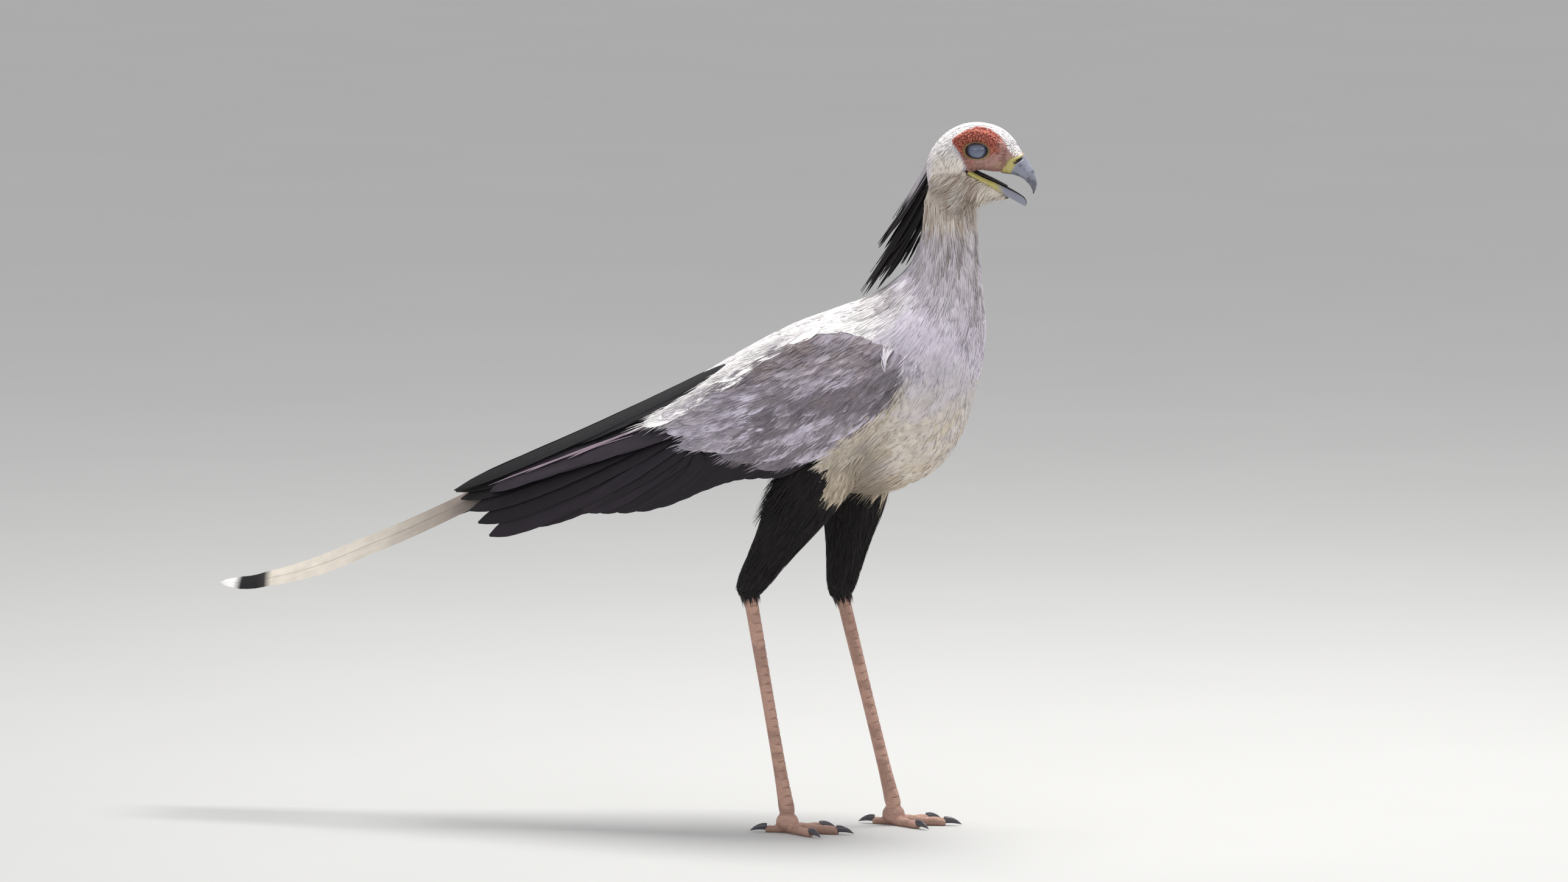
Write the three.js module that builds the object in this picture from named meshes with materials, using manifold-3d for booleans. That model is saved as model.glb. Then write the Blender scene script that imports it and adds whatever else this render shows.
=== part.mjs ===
// Secretary bird, standing in mid stride with its bill open, at life size.
// Millimetres. +X is the way the bird faces, +Y its left side, +Z up.
import * as THREE from "three";
import { mergeVertices } from "three/addons/utils/BufferGeometryUtils.js";
import Module from "manifold-3d";

const wasm = await Module();
wasm.setup();

// Driving sizes
const GAP = 0.3; // left between touching pieces
const EYE_RADIUS = 13.2;
const EYE_CENTRE = new THREE.Vector3(172, 18.6, 868); // the left eye; the right one mirrors it
const TARSUS_SCUTES = 11;
const ANKLE_HEIGHT = 24;
const FLIGHT_VANE_THICKNESS = 1.1;
const COVERT_VANE_THICKNESS = 1.3;
const CREST_VANE_THICKNESS = 1.2;
const MESH_EASE = 0.08; // how far a node's surface may move when its smallest faces are merged
const FEATHER_TUCK = 2.2; // how far a wing feather's edges tilt out of its tier, so that neighbours clear

// Stations of the rump, trunk and neck, from the tail root to the throat. Each one is a section through
// the body: its point on the back, its point on the belly side, and half its width.
const TRUNK = [
  { back: [-212, 561], belly: [-206, 536.1], half: 19 },
  { back: [-178, 581.8], belly: [-166, 504.1], half: 40 },
  { back: [-132, 608.9], belly: [-112, 474.3], half: 62 },
  { back: [-72, 641.3], belly: [-50, 447.8], half: 78 },
  { back: [-12, 664.7], belly: [20, 433.5], half: 84 },
  { back: [26, 678.6], belly: [80, 439.9], half: 81 },
  { back: [46, 690.1], belly: [122, 465.9], half: 74 },
  { back: [61, 701.4], belly: [147, 504.5], half: 67 },
  { back: [73, 711.7], belly: [163, 551.9], half: 60 },
  { back: [83, 723], belly: [174, 594.1], half: 53 },
  { back: [90, 734.1], belly: [178, 632.2], half: 46.5 },
  { back: [95, 748.3], belly: [174.5, 676.1], half: 41 },
  { back: [98, 766.3], belly: [171.5, 716.1], half: 36.5 },
  { back: [99.5, 787.4], belly: [168.5, 752], half: 33.5 },
  { back: [101, 807.4], belly: [165, 782.9], half: 32 },
  { back: [104, 828.5], belly: [160, 805.8], half: 31 },
];
const NECK_ROOT_STATION = 9;
const NECK_TOP_STATION = 14;
const TRUNK_SIDES = 22;

// Stations of the skull and the upper bill, from the nape to the tip of the hook.
const SKULL = [
  { back: [106, 854.5], belly: [105, 828.5], half: 11 },
  { back: [112, 868.7], belly: [112, 813.7], half: 22 },
  { back: [124, 883.9], belly: [126, 809], half: 28.5 },
  { back: [138, 894.3], belly: [142, 815.4], half: 31.5 },
  { back: [153, 900.1], belly: [158, 832.7], half: 32 },
  { back: [168, 901.8], belly: [170, 841], half: 30.5 },
  { back: [183, 900.3], belly: [181, 840.3], half: 27 },
  { back: [196, 896.6], belly: [190, 838.9], half: 23 },
  { back: [207, 889.9], belly: [198, 837.7], half: 19.5 },
  { back: [216, 880.6], belly: [204, 836.8], half: 16.5 },
  { back: [223, 869.8], belly: [209.5, 836.2], half: 13.8 },
  { back: [228.5, 860.4], belly: [214, 835.7], half: 12 },
  { back: [234, 851.5], belly: [219, 834.4], half: 10.4 },
  { back: [239.5, 842.7], belly: [224.5, 832.1], half: 8.6 },
  { back: [242.3, 834.5], belly: [229.5, 828.6], half: 6.6 },
  { back: [244, 826], belly: [235, 822.6], half: 4.5 },
  { back: [242.8, 818.5], belly: [238.3, 817], half: 2.4 },
  { back: [240, 812.2], belly: [239, 812.2], half: 0.7 },
];
const SKULL_SIDES = 16;
const BILL_CUT = { low: [206, 836.6], high: [227, 862.4] }; // where the cere starts

// The feathered cheek and chin below the mouth, and the bare lower bill on it.
const CHIN = [
  { back: [112, 850.7], belly: [106, 818.5], half: 20 },
  { back: [127, 859], belly: [119, 803.8], half: 28 },
  { back: [146, 851.5], belly: [139, 795.3], half: 29.5 },
  { back: [160, 840.8], belly: [155, 789.7], half: 25.5 },
  { back: [174, 833.1], belly: [169, 793], half: 19 },
  { back: [190, 823.5], belly: [186, 797.4], half: 12.5 },
  { back: [203, 814.8], belly: [201, 796.8], half: 7 },
  { back: [210, 808], belly: [209.5, 801], half: 3 },
];
const LOWER_BILL = [
  { back: [161, 842.8], belly: [158, 834.7], half: 20 },
  { back: [178, 834.2], belly: [173.5, 825.6], half: 16.5 },
  { back: [195, 827.1], belly: [190, 817], half: 13 },
  { back: [210, 820], belly: [205, 808.7], half: 9.8 },
  { back: [220.5, 814.5], belly: [215.5, 803], half: 7.2 },
  { back: [227.8, 809.5], belly: [224.5, 798.5], half: 4.8 },
  { back: [231.2, 803.5], belly: [229.8, 796.3], half: 2 },
];
const TONGUE = [
  { back: [139, 848.8], belly: [138, 844.3], half: 5 },
  { back: [158, 843.7], belly: [156.5, 838.7], half: 6.5 },
  { back: [176, 837.2], belly: [174, 832.1], half: 6.5 },
  { back: [194, 829.1], belly: [192, 824.6], half: 5 },
  { back: [207, 822.4], belly: [206, 819.9], half: 2.6 },
];

// The sheet that the folded wing and its feathers lie on, from the wrist to the wing tip: its top and bottom
// edges and how far from the middle plane it stands at its top, middle and bottom.
const WING_SHEET = [
  { x: 96, top: 606.3, bottom: 574.3, yTop: 62, yMiddle: 70, yBottom: 66 },
  { x: 82, top: 623.9, bottom: 557.9, yTop: 57, yMiddle: 82, yBottom: 74 },
  { x: 60, top: 639.4, bottom: 533.4, yTop: 49, yMiddle: 92, yBottom: 82 },
  { x: 20, top: 651.5, bottom: 502.5, yTop: 41, yMiddle: 99, yBottom: 85 },
  { x: -40, top: 649.1, bottom: 471.1, yTop: 36, yMiddle: 100, yBottom: 82 },
  { x: -100, top: 627.6, bottom: 455.6, yTop: 31, yMiddle: 95, yBottom: 77 },
  { x: -160, top: 597.2, bottom: 443.2, yTop: 26, yMiddle: 86, yBottom: 71 },
  { x: -220, top: 560.8, bottom: 424.8, yTop: 23, yMiddle: 75, yBottom: 65 },
  { x: -280, top: 527.4, bottom: 405.4, yTop: 21, yMiddle: 65, yBottom: 60 },
  { x: -340, top: 497.9, bottom: 393.9, yTop: 20, yMiddle: 56, yBottom: 54 },
  { x: -400, top: 470.5, bottom: 377.5, yTop: 19, yMiddle: 48, yBottom: 48 },
  { x: -460, top: 444.1, bottom: 355.1, yTop: 18, yMiddle: 41, yBottom: 43 },
  { x: -520, top: 417.7, bottom: 332.7, yTop: 17, yMiddle: 35, yBottom: 38 },
];
const WING_BODY_REAR = -236;

// The tail's middle line, from its root to the white tip of the two long feathers.
const TAIL_LINE = [
  [-205, 548.1],
  [-300, 501.9],
  [-463, 419],
  [-621, 346.3],
  [-753, 298.2],
  [-818, 288.6],
];

// Legs: where the thigh leaves the body, the heel and the ankle, for the right leg, which trails, and the left.
const LEGS = {
  right: { side: -1, hip: [-14, 44, 478], heel: [-116, 47, 310], ankle: [-66, 47, ANKLE_HEIGHT] },
  left: { side: 1, hip: [10, 44, 478], heel: [-17, 47, 300], ankle: [52, 47, ANKLE_HEIGHT] },
};
const TOE_REST = 0.88; // height of a toe's middle line over the floor, in half depths, so that its pads lie flat
const TOES = [
  { name: "middle", angle: 4, length: 66, radius: 7.6 },
  { name: "inner", angle: -38, length: 47, radius: 7 },
  { name: "outer", angle: 42, length: 50, radius: 7 },
  { name: "rear", angle: 172, length: 27, radius: 6 },
];

// Materials
const finish = (color, roughness) => new THREE.MeshStandardMaterial({ color, roughness, metalness: 0 });
const PALE_GREY = finish(0xb9b4b6, 0.85);
const WING_GREY = finish(0x8e8a90, 0.8);
const BLACK = finish(0x17151a, 0.6);
const FACE_RED = finish(0xc9603a, 0.6);
const HORN_BLUE = finish(0x8f95a6, 0.35);
const LEG_PINK = finish(0xc99a86, 0.55);
const CLAW_GREY = finish(0x4a4644, 0.4);
const EYE_MEMBRANE = finish(0x7b8494, 0.15);
const TONGUE_DARK = finish(0x2a2024, 0.4);

const SIDEWAYS = new THREE.Vector3(0, 1, 0);

// Mesh and solid helpers
const toGeometry = (points, faces) =>
  new THREE.BufferGeometry()
    .setAttribute("position", new THREE.Float32BufferAttribute(points.flatMap((p) => [p.x, p.y, p.z]), 3))
    .setIndex(faces.flat());

function toSolid(geometry) {
  const bare = geometry.clone();
  bare.deleteAttribute("normal");
  bare.deleteAttribute("uv");
  const merged = mergeVertices(bare, 1e-4);
  const make = (index) =>
    new wasm.Manifold(
      new wasm.Mesh({
        numProp: 3,
        vertProperties: new Float32Array(merged.attributes.position.array),
        triVerts: new Uint32Array(index),
      }),
    );
  const index = Array.from(merged.index.array);
  const made = make(index);
  if (made.volume() > 0) return made;
  const turned = [];
  for (let i = 0; i < index.length; i += 3) turned.push(index[i], index[i + 2], index[i + 1]);
  return make(turned);
}

const join = (solids) => solids.reduce((sum, solid) => sum.add(solid));

// A node keeps only its largest closed surface.
const largest = (solid) => solid.decompose().reduce((a, b) => (b.volume() > a.volume() ? b : a));

function toMesh(name, solid, material) {
  const { numProp, numVert, vertProperties, triVerts } = largest(solid.asOriginal().simplify(MESH_EASE)).getMesh();
  const position = new Float32Array(numVert * 3);
  for (let i = 0; i < numVert; i++) {
    position.set(vertProperties.subarray(i * numProp, i * numProp + 3), i * 3);
  }
  const geometry = new THREE.BufferGeometry()
    .setAttribute("position", new THREE.BufferAttribute(position, 3))
    .setIndex(new THREE.BufferAttribute(triVerts, 1));
  geometry.computeVertexNormals();
  const mesh = new THREE.Mesh(geometry, material);
  mesh.name = name;
  return mesh;
}

// A smooth curve through numbers at even steps; t runs from 0 to values.length - 1.
function smooth(values, t) {
  const i = Math.min(Math.floor(t), values.length - 2);
  const f = t - i;
  const at = (k) => values[Math.max(0, Math.min(values.length - 1, k))];
  const [a, b, c, d] = [at(i - 1), at(i), at(i + 1), at(i + 2)];
  return b + 0.5 * f * (c - a + f * (2 * a - 5 * b + 4 * c - d + f * (3 * (b - c) + d - a)));
}

// Where x lies among stations that run from high x to low x, as a fractional index.
function stationAt(stations, x) {
  let i = 0;
  while (i < stations.length - 2 && x < stations[i + 1].x) i++;
  return i + (stations[i].x - x) / (stations[i].x - stations[i + 1].x);
}

// One ring of points round the body at fractional station t, grown outwards by `grow`.
function bodyRing(stations, t, sides, grow = 0, shift = 0) {
  const read = (key, axis) => smooth(stations.map((s) => s[key][axis]), t);
  const back = new THREE.Vector3(read("back", 0), 0, read("back", 1));
  const belly = new THREE.Vector3(read("belly", 0), 0, read("belly", 1));
  const centre = back.clone().add(belly).multiplyScalar(0.5);
  const up = back.clone().sub(belly);
  const reach = up.length() / 2 + grow;
  up.normalize();
  const along = new THREE.Vector3(up.z, 0, -up.x);
  const half = smooth(stations.map((s) => s.half), t) + grow;
  centre.addScaledVector(along, shift);
  return Array.from({ length: sides }, (_, k) => {
    const a = (2 * Math.PI * k) / sides;
    return centre
      .clone()
      .addScaledVector(up, reach * Math.cos(a))
      .add(new THREE.Vector3(0, half * Math.sin(a), 0));
  });
}

// A closed skin over rings of equal count, with a fan at each end.
function skinRings(rings) {
  const sides = rings[0].length;
  const points = rings.flat();
  const faces = [];
  for (let r = 0; r < rings.length - 1; r++) {
    for (let k = 0; k < sides; k++) {
      const [a, b] = [r * sides + k, r * sides + ((k + 1) % sides)];
      faces.push([a, b, b + sides], [a, b + sides, a + sides]);
    }
  }
  const middle = (ring) => ring.reduce((s, p) => s.add(p), new THREE.Vector3()).divideScalar(sides);
  const first = points.push(middle(rings[0])) - 1;
  const last = points.push(middle(rings.at(-1))) - 1;
  const tail = (rings.length - 1) * sides;
  for (let k = 0; k < sides; k++) {
    const n = (k + 1) % sides;
    faces.push([first, n, k], [last, tail + k, tail + n]);
  }
  return toGeometry(points, faces);
}

function bodyLoft(stations, from, to, steps, sides, grow = 0, startShift = 0, endShift = 0) {
  const rings = [];
  for (let i = 0; i <= steps; i++) {
    const shift = i === 0 ? startShift : i === steps ? endShift : 0;
    rings.push(bodyRing(stations, from + ((to - from) * i) / steps, sides, grow, shift));
  }
  return toSolid(skinRings(rings));
}

// A closed plate between an outer and an inner grid of points, split alike on both faces.
function plate(outer, inner) {
  const [rows, columns] = [outer.length, outer[0].length];
  const points = [...outer.flat(), ...inner.flat()];
  const n = rows * columns;
  const faces = [];
  const quad = (a, b, c, d) => faces.push([a, b, c], [a, c, d]);
  for (let r = 0; r < rows - 1; r++) {
    for (let c = 0; c < columns - 1; c++) {
      const a = r * columns + c;
      quad(a, a + 1, a + columns + 1, a + columns);
      faces.push([n + a, n + a + columns + 1, n + a + 1], [n + a, n + a + columns, n + a + columns + 1]);
    }
  }
  const rim = [];
  for (let c = 0; c < columns - 1; c++) rim.push(c);
  for (let r = 0; r < rows - 1; r++) rim.push(r * columns + columns - 1);
  for (let c = columns - 1; c > 0; c--) rim.push((rows - 1) * columns + c);
  for (let r = rows - 1; r > 0; r--) rim.push(r * columns);
  rim.forEach((a, i) => {
    const b = rim[(i + 1) % rim.length];
    faces.push([b, a, n + a], [b, n + a, n + b]);
  });
  return toSolid(toGeometry(points, faces));
}

// A round-sectioned limb along a path: `across` is how wide it is sideways and `deep` front to back.
function limb(path, deep, across, sides, sideways) {
  const rings = path.map((p, i) => {
    const ahead = path[Math.min(i + 1, path.length - 1)];
    const along = ahead.clone().sub(path[Math.max(i - 1, 0)]).normalize();
    const front = new THREE.Vector3().crossVectors(sideways, along).normalize();
    return Array.from({ length: sides }, (_, k) => {
      const a = (2 * Math.PI * (k + 0.5)) / sides;
      return p
        .clone()
        .addScaledVector(front, deep[i] * Math.cos(a))
        .addScaledVector(sideways, across[i] * Math.sin(a));
    });
  });
  return toSolid(skinRings(rings));
}

// A half space as a large box, on the side of the plane through `point` that `normal` points to.
function halfSpace(point, normal) {
  const size = 3000;
  const box = new THREE.BoxGeometry(size, size, size);
  const turn = new THREE.Quaternion().setFromUnitVectors(new THREE.Vector3(0, 0, 1), normal);
  box.applyQuaternion(turn);
  const centre = point.clone().addScaledVector(normal, size / 2);
  box.translate(centre.x, centre.y, centre.z);
  return toSolid(box);
}

// Trunk and neck
const trunkSolid = (grow) =>
  bodyLoft(TRUNK, 0, NECK_ROOT_STATION, 13, TRUNK_SIDES, grow, -grow, grow);
const neckSolid = (grow) =>
  bodyLoft(TRUNK, NECK_ROOT_STATION, NECK_TOP_STATION, 9, TRUNK_SIDES, grow, GAP - grow, grow);
const headStump = () =>
  bodyLoft(TRUNK, NECK_TOP_STATION, TRUNK.length - 1, 2, TRUNK_SIDES, 0, GAP, 0);

// The wing sheet's distance from the middle plane at a point of the side view.
function sheetY(x, z) {
  const t = Math.max(0, stationAt(WING_SHEET, x));
  const read = (key) => smooth(WING_SHEET.map((s) => s[key]), Math.min(t, WING_SHEET.length - 1));
  const [top, bottom] = [read("top"), read("bottom")];
  const [yTop, yMiddle, yBottom] = [read("yTop"), read("yMiddle"), read("yBottom")];
  const u = THREE.MathUtils.clamp((2 * z - top - bottom) / (top - bottom), -1.25, 1.2);
  return yMiddle + ((yTop - yBottom) / 2) * u + ((yTop + yBottom) / 2 - yMiddle) * u * u;
}

// A feather that lies on the wing sheet: a curved plate from root to tip in the side view. Its root is sunk to
// `sunk`, its blade lies at `lift` over the sheet, and its upper edge is tucked under its neighbour by `tuck`.
function wingVane(side, { root, tip, width, sag, sunk, lift, tuck, thickness, rows, columns }) {
  const outer = [];
  const inner = [];
  const [dx, dz] = [tip[0] - root[0], tip[1] - root[1]];
  const length = Math.hypot(dx, dz);
  const [nx, nz] = [-dz / length, dx / length];
  for (let i = 0; i < rows; i++) {
    const t = i / (rows - 1);
    const bow = sag * 4 * t * (1 - t);
    const spread = width * (t < 0.6 ? 0.62 + 0.63 * t : 1 - 2.3 * (t - 0.6) ** 1.35);
    const outerRow = [];
    const innerRow = [];
    for (let j = 0; j < columns; j++) {
      const across = j / (columns - 1) - 0.5;
      const round = columns > 2 && i === rows - 1 && j === 1 ? 0.03 * length : 0;
      const x = root[0] + dx * t + nx * (bow + across * spread) + (dx / length) * round;
      const z = root[1] + dz * t + nz * (bow + across * spread) + (dz / length) * round;
      const ridge = columns > 2 && j === 1 ? 0.5 : 0;
      const y = sheetY(x, z) + (i ? lift : sunk) - tuck * across * 2 + ridge;
      const thin = thickness * (1 - 0.35 * t);
      outerRow.push(new THREE.Vector3(x, side * y, z));
      innerRow.push(new THREE.Vector3(x, side * (y - thin), z));
    }
    outer.push(outerRow);
    inner.push(innerRow);
  }
  return plate(outer, inner);
}

// Values from `a` to `b` over a run of `n` feathers.
const run = (n, make) => Array.from({ length: n }, (_, i) => make(n > 1 ? i / (n - 1) : 0, i));
const mix = (a, b, t) => a + (b - a) * t;

const flight = (root, tip, width, sunk, lift) => ({
  root,
  tip,
  width,
  sunk,
  lift,
  sag: 6,
  tuck: FEATHER_TUCK,
  thickness: FLIGHT_VANE_THICKNESS,
  rows: 4,
  columns: 3,
});
const covert = (root, tip, width, sunk, lift) => ({
  root,
  tip,
  width,
  sunk,
  lift,
  sag: 3,
  tuck: FEATHER_TUCK,
  thickness: COVERT_VANE_THICKNESS,
  rows: 3,
  columns: 3,
});

const PRIMARY_TIPS = [
  [-487, 425.5],
  [-483, 409.6],
  [-476, 392.7],
  [-466, 376],
  [-452, 359.3],
  [-402, 376.5],
  [-360, 392.5],
];
const SECONDARY_COUNT = 6;
const GREATER_COVERT_COUNT = 8;
const MEDIAN_COVERT_COUNT = 7;
const SCAPULAR_COUNT = 5;

// Points on the lower edges of the tiers, front to rear.
const SECONDARY_EDGE = [
  [-92, 456.8],
  [-150, 451.4],
  [-207, 431.1],
  [-262, 407.8],
  [-330, 404.2],
];
const GREATER_EDGE = [
  [10, 506.2],
  [-35, 473.2],
  [-96, 461.7],
  [-158, 466.3],
  [-228, 475.6],
];
const onEdge = (edge, t) => [0, 1].map((k) => smooth(edge.map((p) => p[k]), t * (edge.length - 1)));

function wingVanes() {
  const vanes = [];
  PRIMARY_TIPS.forEach((tip, i) => {
    const share = i / (PRIMARY_TIPS.length - 1);
    vanes.push(flight([mix(-196, -182, share), mix(561, 488, share)], tip, 30, -5, -7.4));
  });
  run(SECONDARY_COUNT, (t) => {
    const tip = onEdge(SECONDARY_EDGE, t);
    const reach = mix(96, 150, t);
    vanes.push(flight([tip[0] + reach * 0.8, tip[1] + reach * 0.52], tip, 38, -6, -3.2));
  });
  run(GREATER_COVERT_COUNT, (t) => {
    const tip = onEdge(GREATER_EDGE, t);
    const [reach, lean] = [mix(78, 104, t), mix(0.55, 0.84, t)];
    const root = [tip[0] + reach * lean, tip[1] + reach * Math.sqrt(1 - lean * lean)];
    vanes.push(covert(root, tip, 38, -6, 0.8));
  });
  run(MEDIAN_COVERT_COUNT, (t) => {
    const edge = onEdge(GREATER_EDGE, t);
    const lean = mix(0.45, 0.8, t);
    const tip = [edge[0] + 34 * lean, edge[1] + 44 * Math.sqrt(1 - lean * lean) + 6];
    const root = [tip[0] + 62 * lean, tip[1] + 62 * Math.sqrt(1 - lean * lean)];
    vanes.push(covert(root, tip, 38, -6, 3.6));
  });
  run(SCAPULAR_COUNT, (t) => {
    const tip = [mix(-122, -282, t), mix(587, 502, t)];
    const reach = mix(84, 128, t);
    vanes.push(covert([tip[0] + reach * 0.9, tip[1] + reach * 0.42], tip, 34, -6, 3.2));
  });
  return vanes;
}

// The arm under the feathers: a plate on the wing sheet that the trunk is cut out of.
function wingArm(side) {
  const outer = [];
  const inner = [];
  const rows = 8;
  const columns = 6;
  for (let i = 0; i < rows; i++) {
    const t = i / (rows - 1);
    const x = mix(92, WING_BODY_REAR, t ** 0.9);
    const at = stationAt(WING_SHEET, x);
    const read = (key) => smooth(WING_SHEET.map((s) => s[key]), at);
    const [top, bottom] = [read("top"), read("bottom")];
    const [high, low] = [mix(top - 1, top - 14, t), mix(bottom + 3, bottom + 52, t ** 0.7)];
    const depth = mix(46, 7, Math.min(1, Math.max(0, (60 - x) / 240)) ** 0.8);
    const outerRow = [];
    const innerRow = [];
    for (let j = 0; j < columns; j++) {
      const u = j / (columns - 1);
      const z = mix(high, low, u);
      const y = sheetY(x, z) - 2.4 - 2.5 * Math.abs(2 * u - 1) ** 4;
      outerRow.push(new THREE.Vector3(x, side * y, z));
      innerRow.push(new THREE.Vector3(x, side * (y - depth * (1 - 0.5 * Math.abs(2 * u - 1) ** 3)), z));
    }
    outer.push(outerRow);
    inner.push(innerRow);
  }
  return plate(outer, inner);
}

// Everything the wing may fill, so that the thigh stays clear of it.
function wingRoom(side) {
  const outer = [];
  const inner = [];
  for (let i = 0; i <= 10; i++) {
    const x = mix(100, -300, i / 10);
    const at = stationAt(WING_SHEET, x);
    const [top, bottom] = ["top", "bottom"].map((key) => smooth(WING_SHEET.map((s) => s[key]), Math.max(0, at)));
    const outerRow = [];
    const innerRow = [];
    for (let j = 0; j <= 6; j++) {
      const z = mix(top + 6, bottom - 16, j / 6);
      const y = sheetY(x, z);
      outerRow.push(new THREE.Vector3(x, side * (y + 12), z));
      innerRow.push(new THREE.Vector3(x, side * (y - 13), z));
    }
    outer.push(outerRow);
    inner.push(innerRow);
  }
  return plate(outer, inner);
}

function wingSolid(side) {
  const feathers = wingVanes().map((vane) => wingVane(side, vane));
  return join([wingArm(side), ...feathers]).subtract(trunkSolid(GAP));
}

// Tail
const RECTRIX_REACH = [-818, -560, -520, -488, -462, -440]; // x of each pair's tip, from the middle outwards

// A point of the tail line at x, with `side` offset and drop.
function tailZ(x) {
  let i = 0;
  while (i < TAIL_LINE.length - 2 && x < TAIL_LINE[i + 1][0]) i++;
  const t = i + (TAIL_LINE[i][0] - x) / (TAIL_LINE[i][0] - TAIL_LINE[i + 1][0]);
  return smooth(TAIL_LINE.map((p) => p[1]), Math.min(t, TAIL_LINE.length - 1));
}

const TAIL_ROLL = THREE.MathUtils.degToRad(42); // each half of the folded tail slopes down and out by this
const TAIL_PAIR_DROP = 2.2;
const TAIL_ROOT_X = -222;

function tailVane(side, pair) {
  const rows = pair ? 5 : 9;
  const width = pair ? 30 : 33;
  const inner = [];
  const outer = [];
  for (let i = 0; i < rows; i++) {
    const t = i / (rows - 1);
    const x = mix(TAIL_ROOT_X, RECTRIX_REACH[pair], t);
    const room = 1 - 0.35 * Math.max(0, 1 - t * 3);
    const spread = width * room * (t < 0.75 ? 0.8 + 0.27 * t : 1 - 2.6 * (t - 0.75) ** 1.2);
    const outerRow = [];
    const innerRow = [];
    for (let j = 0; j < 3; j++) {
      const across = (j / 2) * spread;
      const ridge = j === 1 ? 0.5 : 0;
      const y = GAP + 0.4 * pair + across * Math.cos(TAIL_ROLL);
      const z = tailZ(x) + (0.5 * width - across) * Math.sin(TAIL_ROLL) - TAIL_PAIR_DROP * pair + ridge;
      const tipRound = j === 1 && i === rows - 1 ? -7 : 0;
      outerRow.push(new THREE.Vector3(x + tipRound, side * y, z));
      innerRow.push(new THREE.Vector3(x + tipRound, side * y, z - FLIGHT_VANE_THICKNESS));
    }
    outer.push(outerRow);
    inner.push(innerRow);
  }
  return plate(outer, inner);
}

// The fleshy tail root, from the end of the trunk to where the feathers come clear of it.
const TAIL_ROOT = [
  { x: -207, z: 549.6, high: 12, wide: 18 },
  { x: -222, z: 539.7, high: 15, wide: 19 },
  { x: -240, z: 528.3, high: 15, wide: 17 },
  { x: -262, z: 515.8, high: 11, wide: 13 },
  { x: -280, z: 506.4, high: 5, wide: 6 },
];

function tailSolid() {
  const path = TAIL_ROOT.map(({ x, z }) => new THREE.Vector3(x, 0, z));
  const root = limb(
    path,
    TAIL_ROOT.map((s) => s.high),
    TAIL_ROOT.map((s) => s.wide),
    12,
    SIDEWAYS,
  );
  const feathers = RECTRIX_REACH.flatMap((_, pair) => [tailVane(-1, pair), tailVane(1, pair)]);
  return join([root, ...feathers]).subtract(trunkSolid(GAP));
}

// Crest: long plumes from the nape, in rows from the highest to the lowest. A row lies on an arc round the back
// of the neck, so the plumes at its sides face sideways.
const CREST_ROWS = [
  { rootZ: 866, count: 3, tip: [60, 772], spread: 10, bow: 0 },
  { rootZ: 857, count: 4, tip: [40, 741], spread: 15, bow: -2 },
  { rootZ: 845, count: 4, tip: [20, 682], spread: 17, bow: -3 },
  { rootZ: 832, count: 4, tip: [34, 694], spread: 20, bow: -5 },
  { rootZ: 819, count: 3, tip: [68, 720], spread: 15, bow: -3 },
];
const CREST_ROOT_X = 113;
const CREST_ROOT_RADIUS = 12;
const CREST_WRAP = THREE.MathUtils.degToRad(62); // how far round the neck a row's outermost plume lies
const CREST_SHINGLE = 1.9; // every other plume of a row lies this much further out

function crestVane({ rootZ, tip, spread, bow }, across, odd) {
  const wrap = across * CREST_WRAP;
  const [dx, dz] = [tip[0] - CREST_ROOT_X, tip[1] - rootZ];
  const length = Math.hypot(dx, dz);
  const front = new THREE.Vector3(-dz / length, 0, dx / length);
  const acrossVane = SIDEWAYS.clone().multiplyScalar(Math.cos(wrap)).addScaledVector(front, Math.sin(wrap));
  const through = new THREE.Vector3().crossVectors(acrossVane, new THREE.Vector3(dx, 0, dz).normalize());
  const rows = 4;
  const outer = [];
  const inner = [];
  for (let i = 0; i < rows; i++) {
    const t = i / (rows - 1);
    const radius = mix(CREST_ROOT_RADIUS, spread, t);
    const sink = -bow * 4 * t * (1 - t) + radius * (1 - Math.cos(wrap)) - (odd ? CREST_SHINGLE : 0);
    const middle = new THREE.Vector3(CREST_ROOT_X + dx * t, radius * Math.sin(wrap), rootZ + dz * t);
    middle.addScaledVector(front, sink);
    if (odd) middle.add(new THREE.Vector3(0, 0, 7 * t));
    const width = 11 * (i === rows - 1 ? 0.3 : 0.5 + 0.6 * t);
    const edge = [-0.5, 0.5].map((k) => middle.clone().addScaledVector(acrossVane, k * width));
    outer.push(edge);
    inner.push(edge.map((p) => p.clone().addScaledVector(through, CREST_VANE_THICKNESS)));
  }
  return plate(outer, inner);
}

const crestVanes = () =>
  CREST_ROWS.flatMap((row) => run(row.count, (t, i) => crestVane(row, 2 * t - 1, i % 2 === 1)));

// Head
const mirrored = (point, side) => new THREE.Vector3(point.x, side * point.y, point.z);
const eyeBall = (side, grow = 0) =>
  toSolid(new THREE.SphereGeometry(EYE_RADIUS + grow, 14, 8).translate(...mirrored(EYE_CENTRE, side)));

// The hollow that the eye sits in, and the rims of its lids round the ball.
const EYE_HOLLOW = { x: 18, y: 7, z: 14, out: 12.5 };
function eyeHollow(side) {
  const { x, y, z, out } = EYE_HOLLOW;
  const bowl = new THREE.SphereGeometry(1, 14, 8).scale(x, y, z);
  return toSolid(bowl.translate(EYE_CENTRE.x, side * (EYE_CENTRE.y + out), EYE_CENTRE.z));
}

function eyelids(side) {
  const ring = new THREE.TorusGeometry(12.2, 2.4, 5, 16);
  ring.scale(1.08, 0.92, 1.1);
  ring.rotateX(Math.PI / 2);
  ring.rotateX(side * THREE.MathUtils.degToRad(7));
  ring.translate(EYE_CENTRE.x, side * (EYE_CENTRE.y + 6.4), EYE_CENTRE.z + 0.3);
  return toSolid(ring);
}

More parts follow.
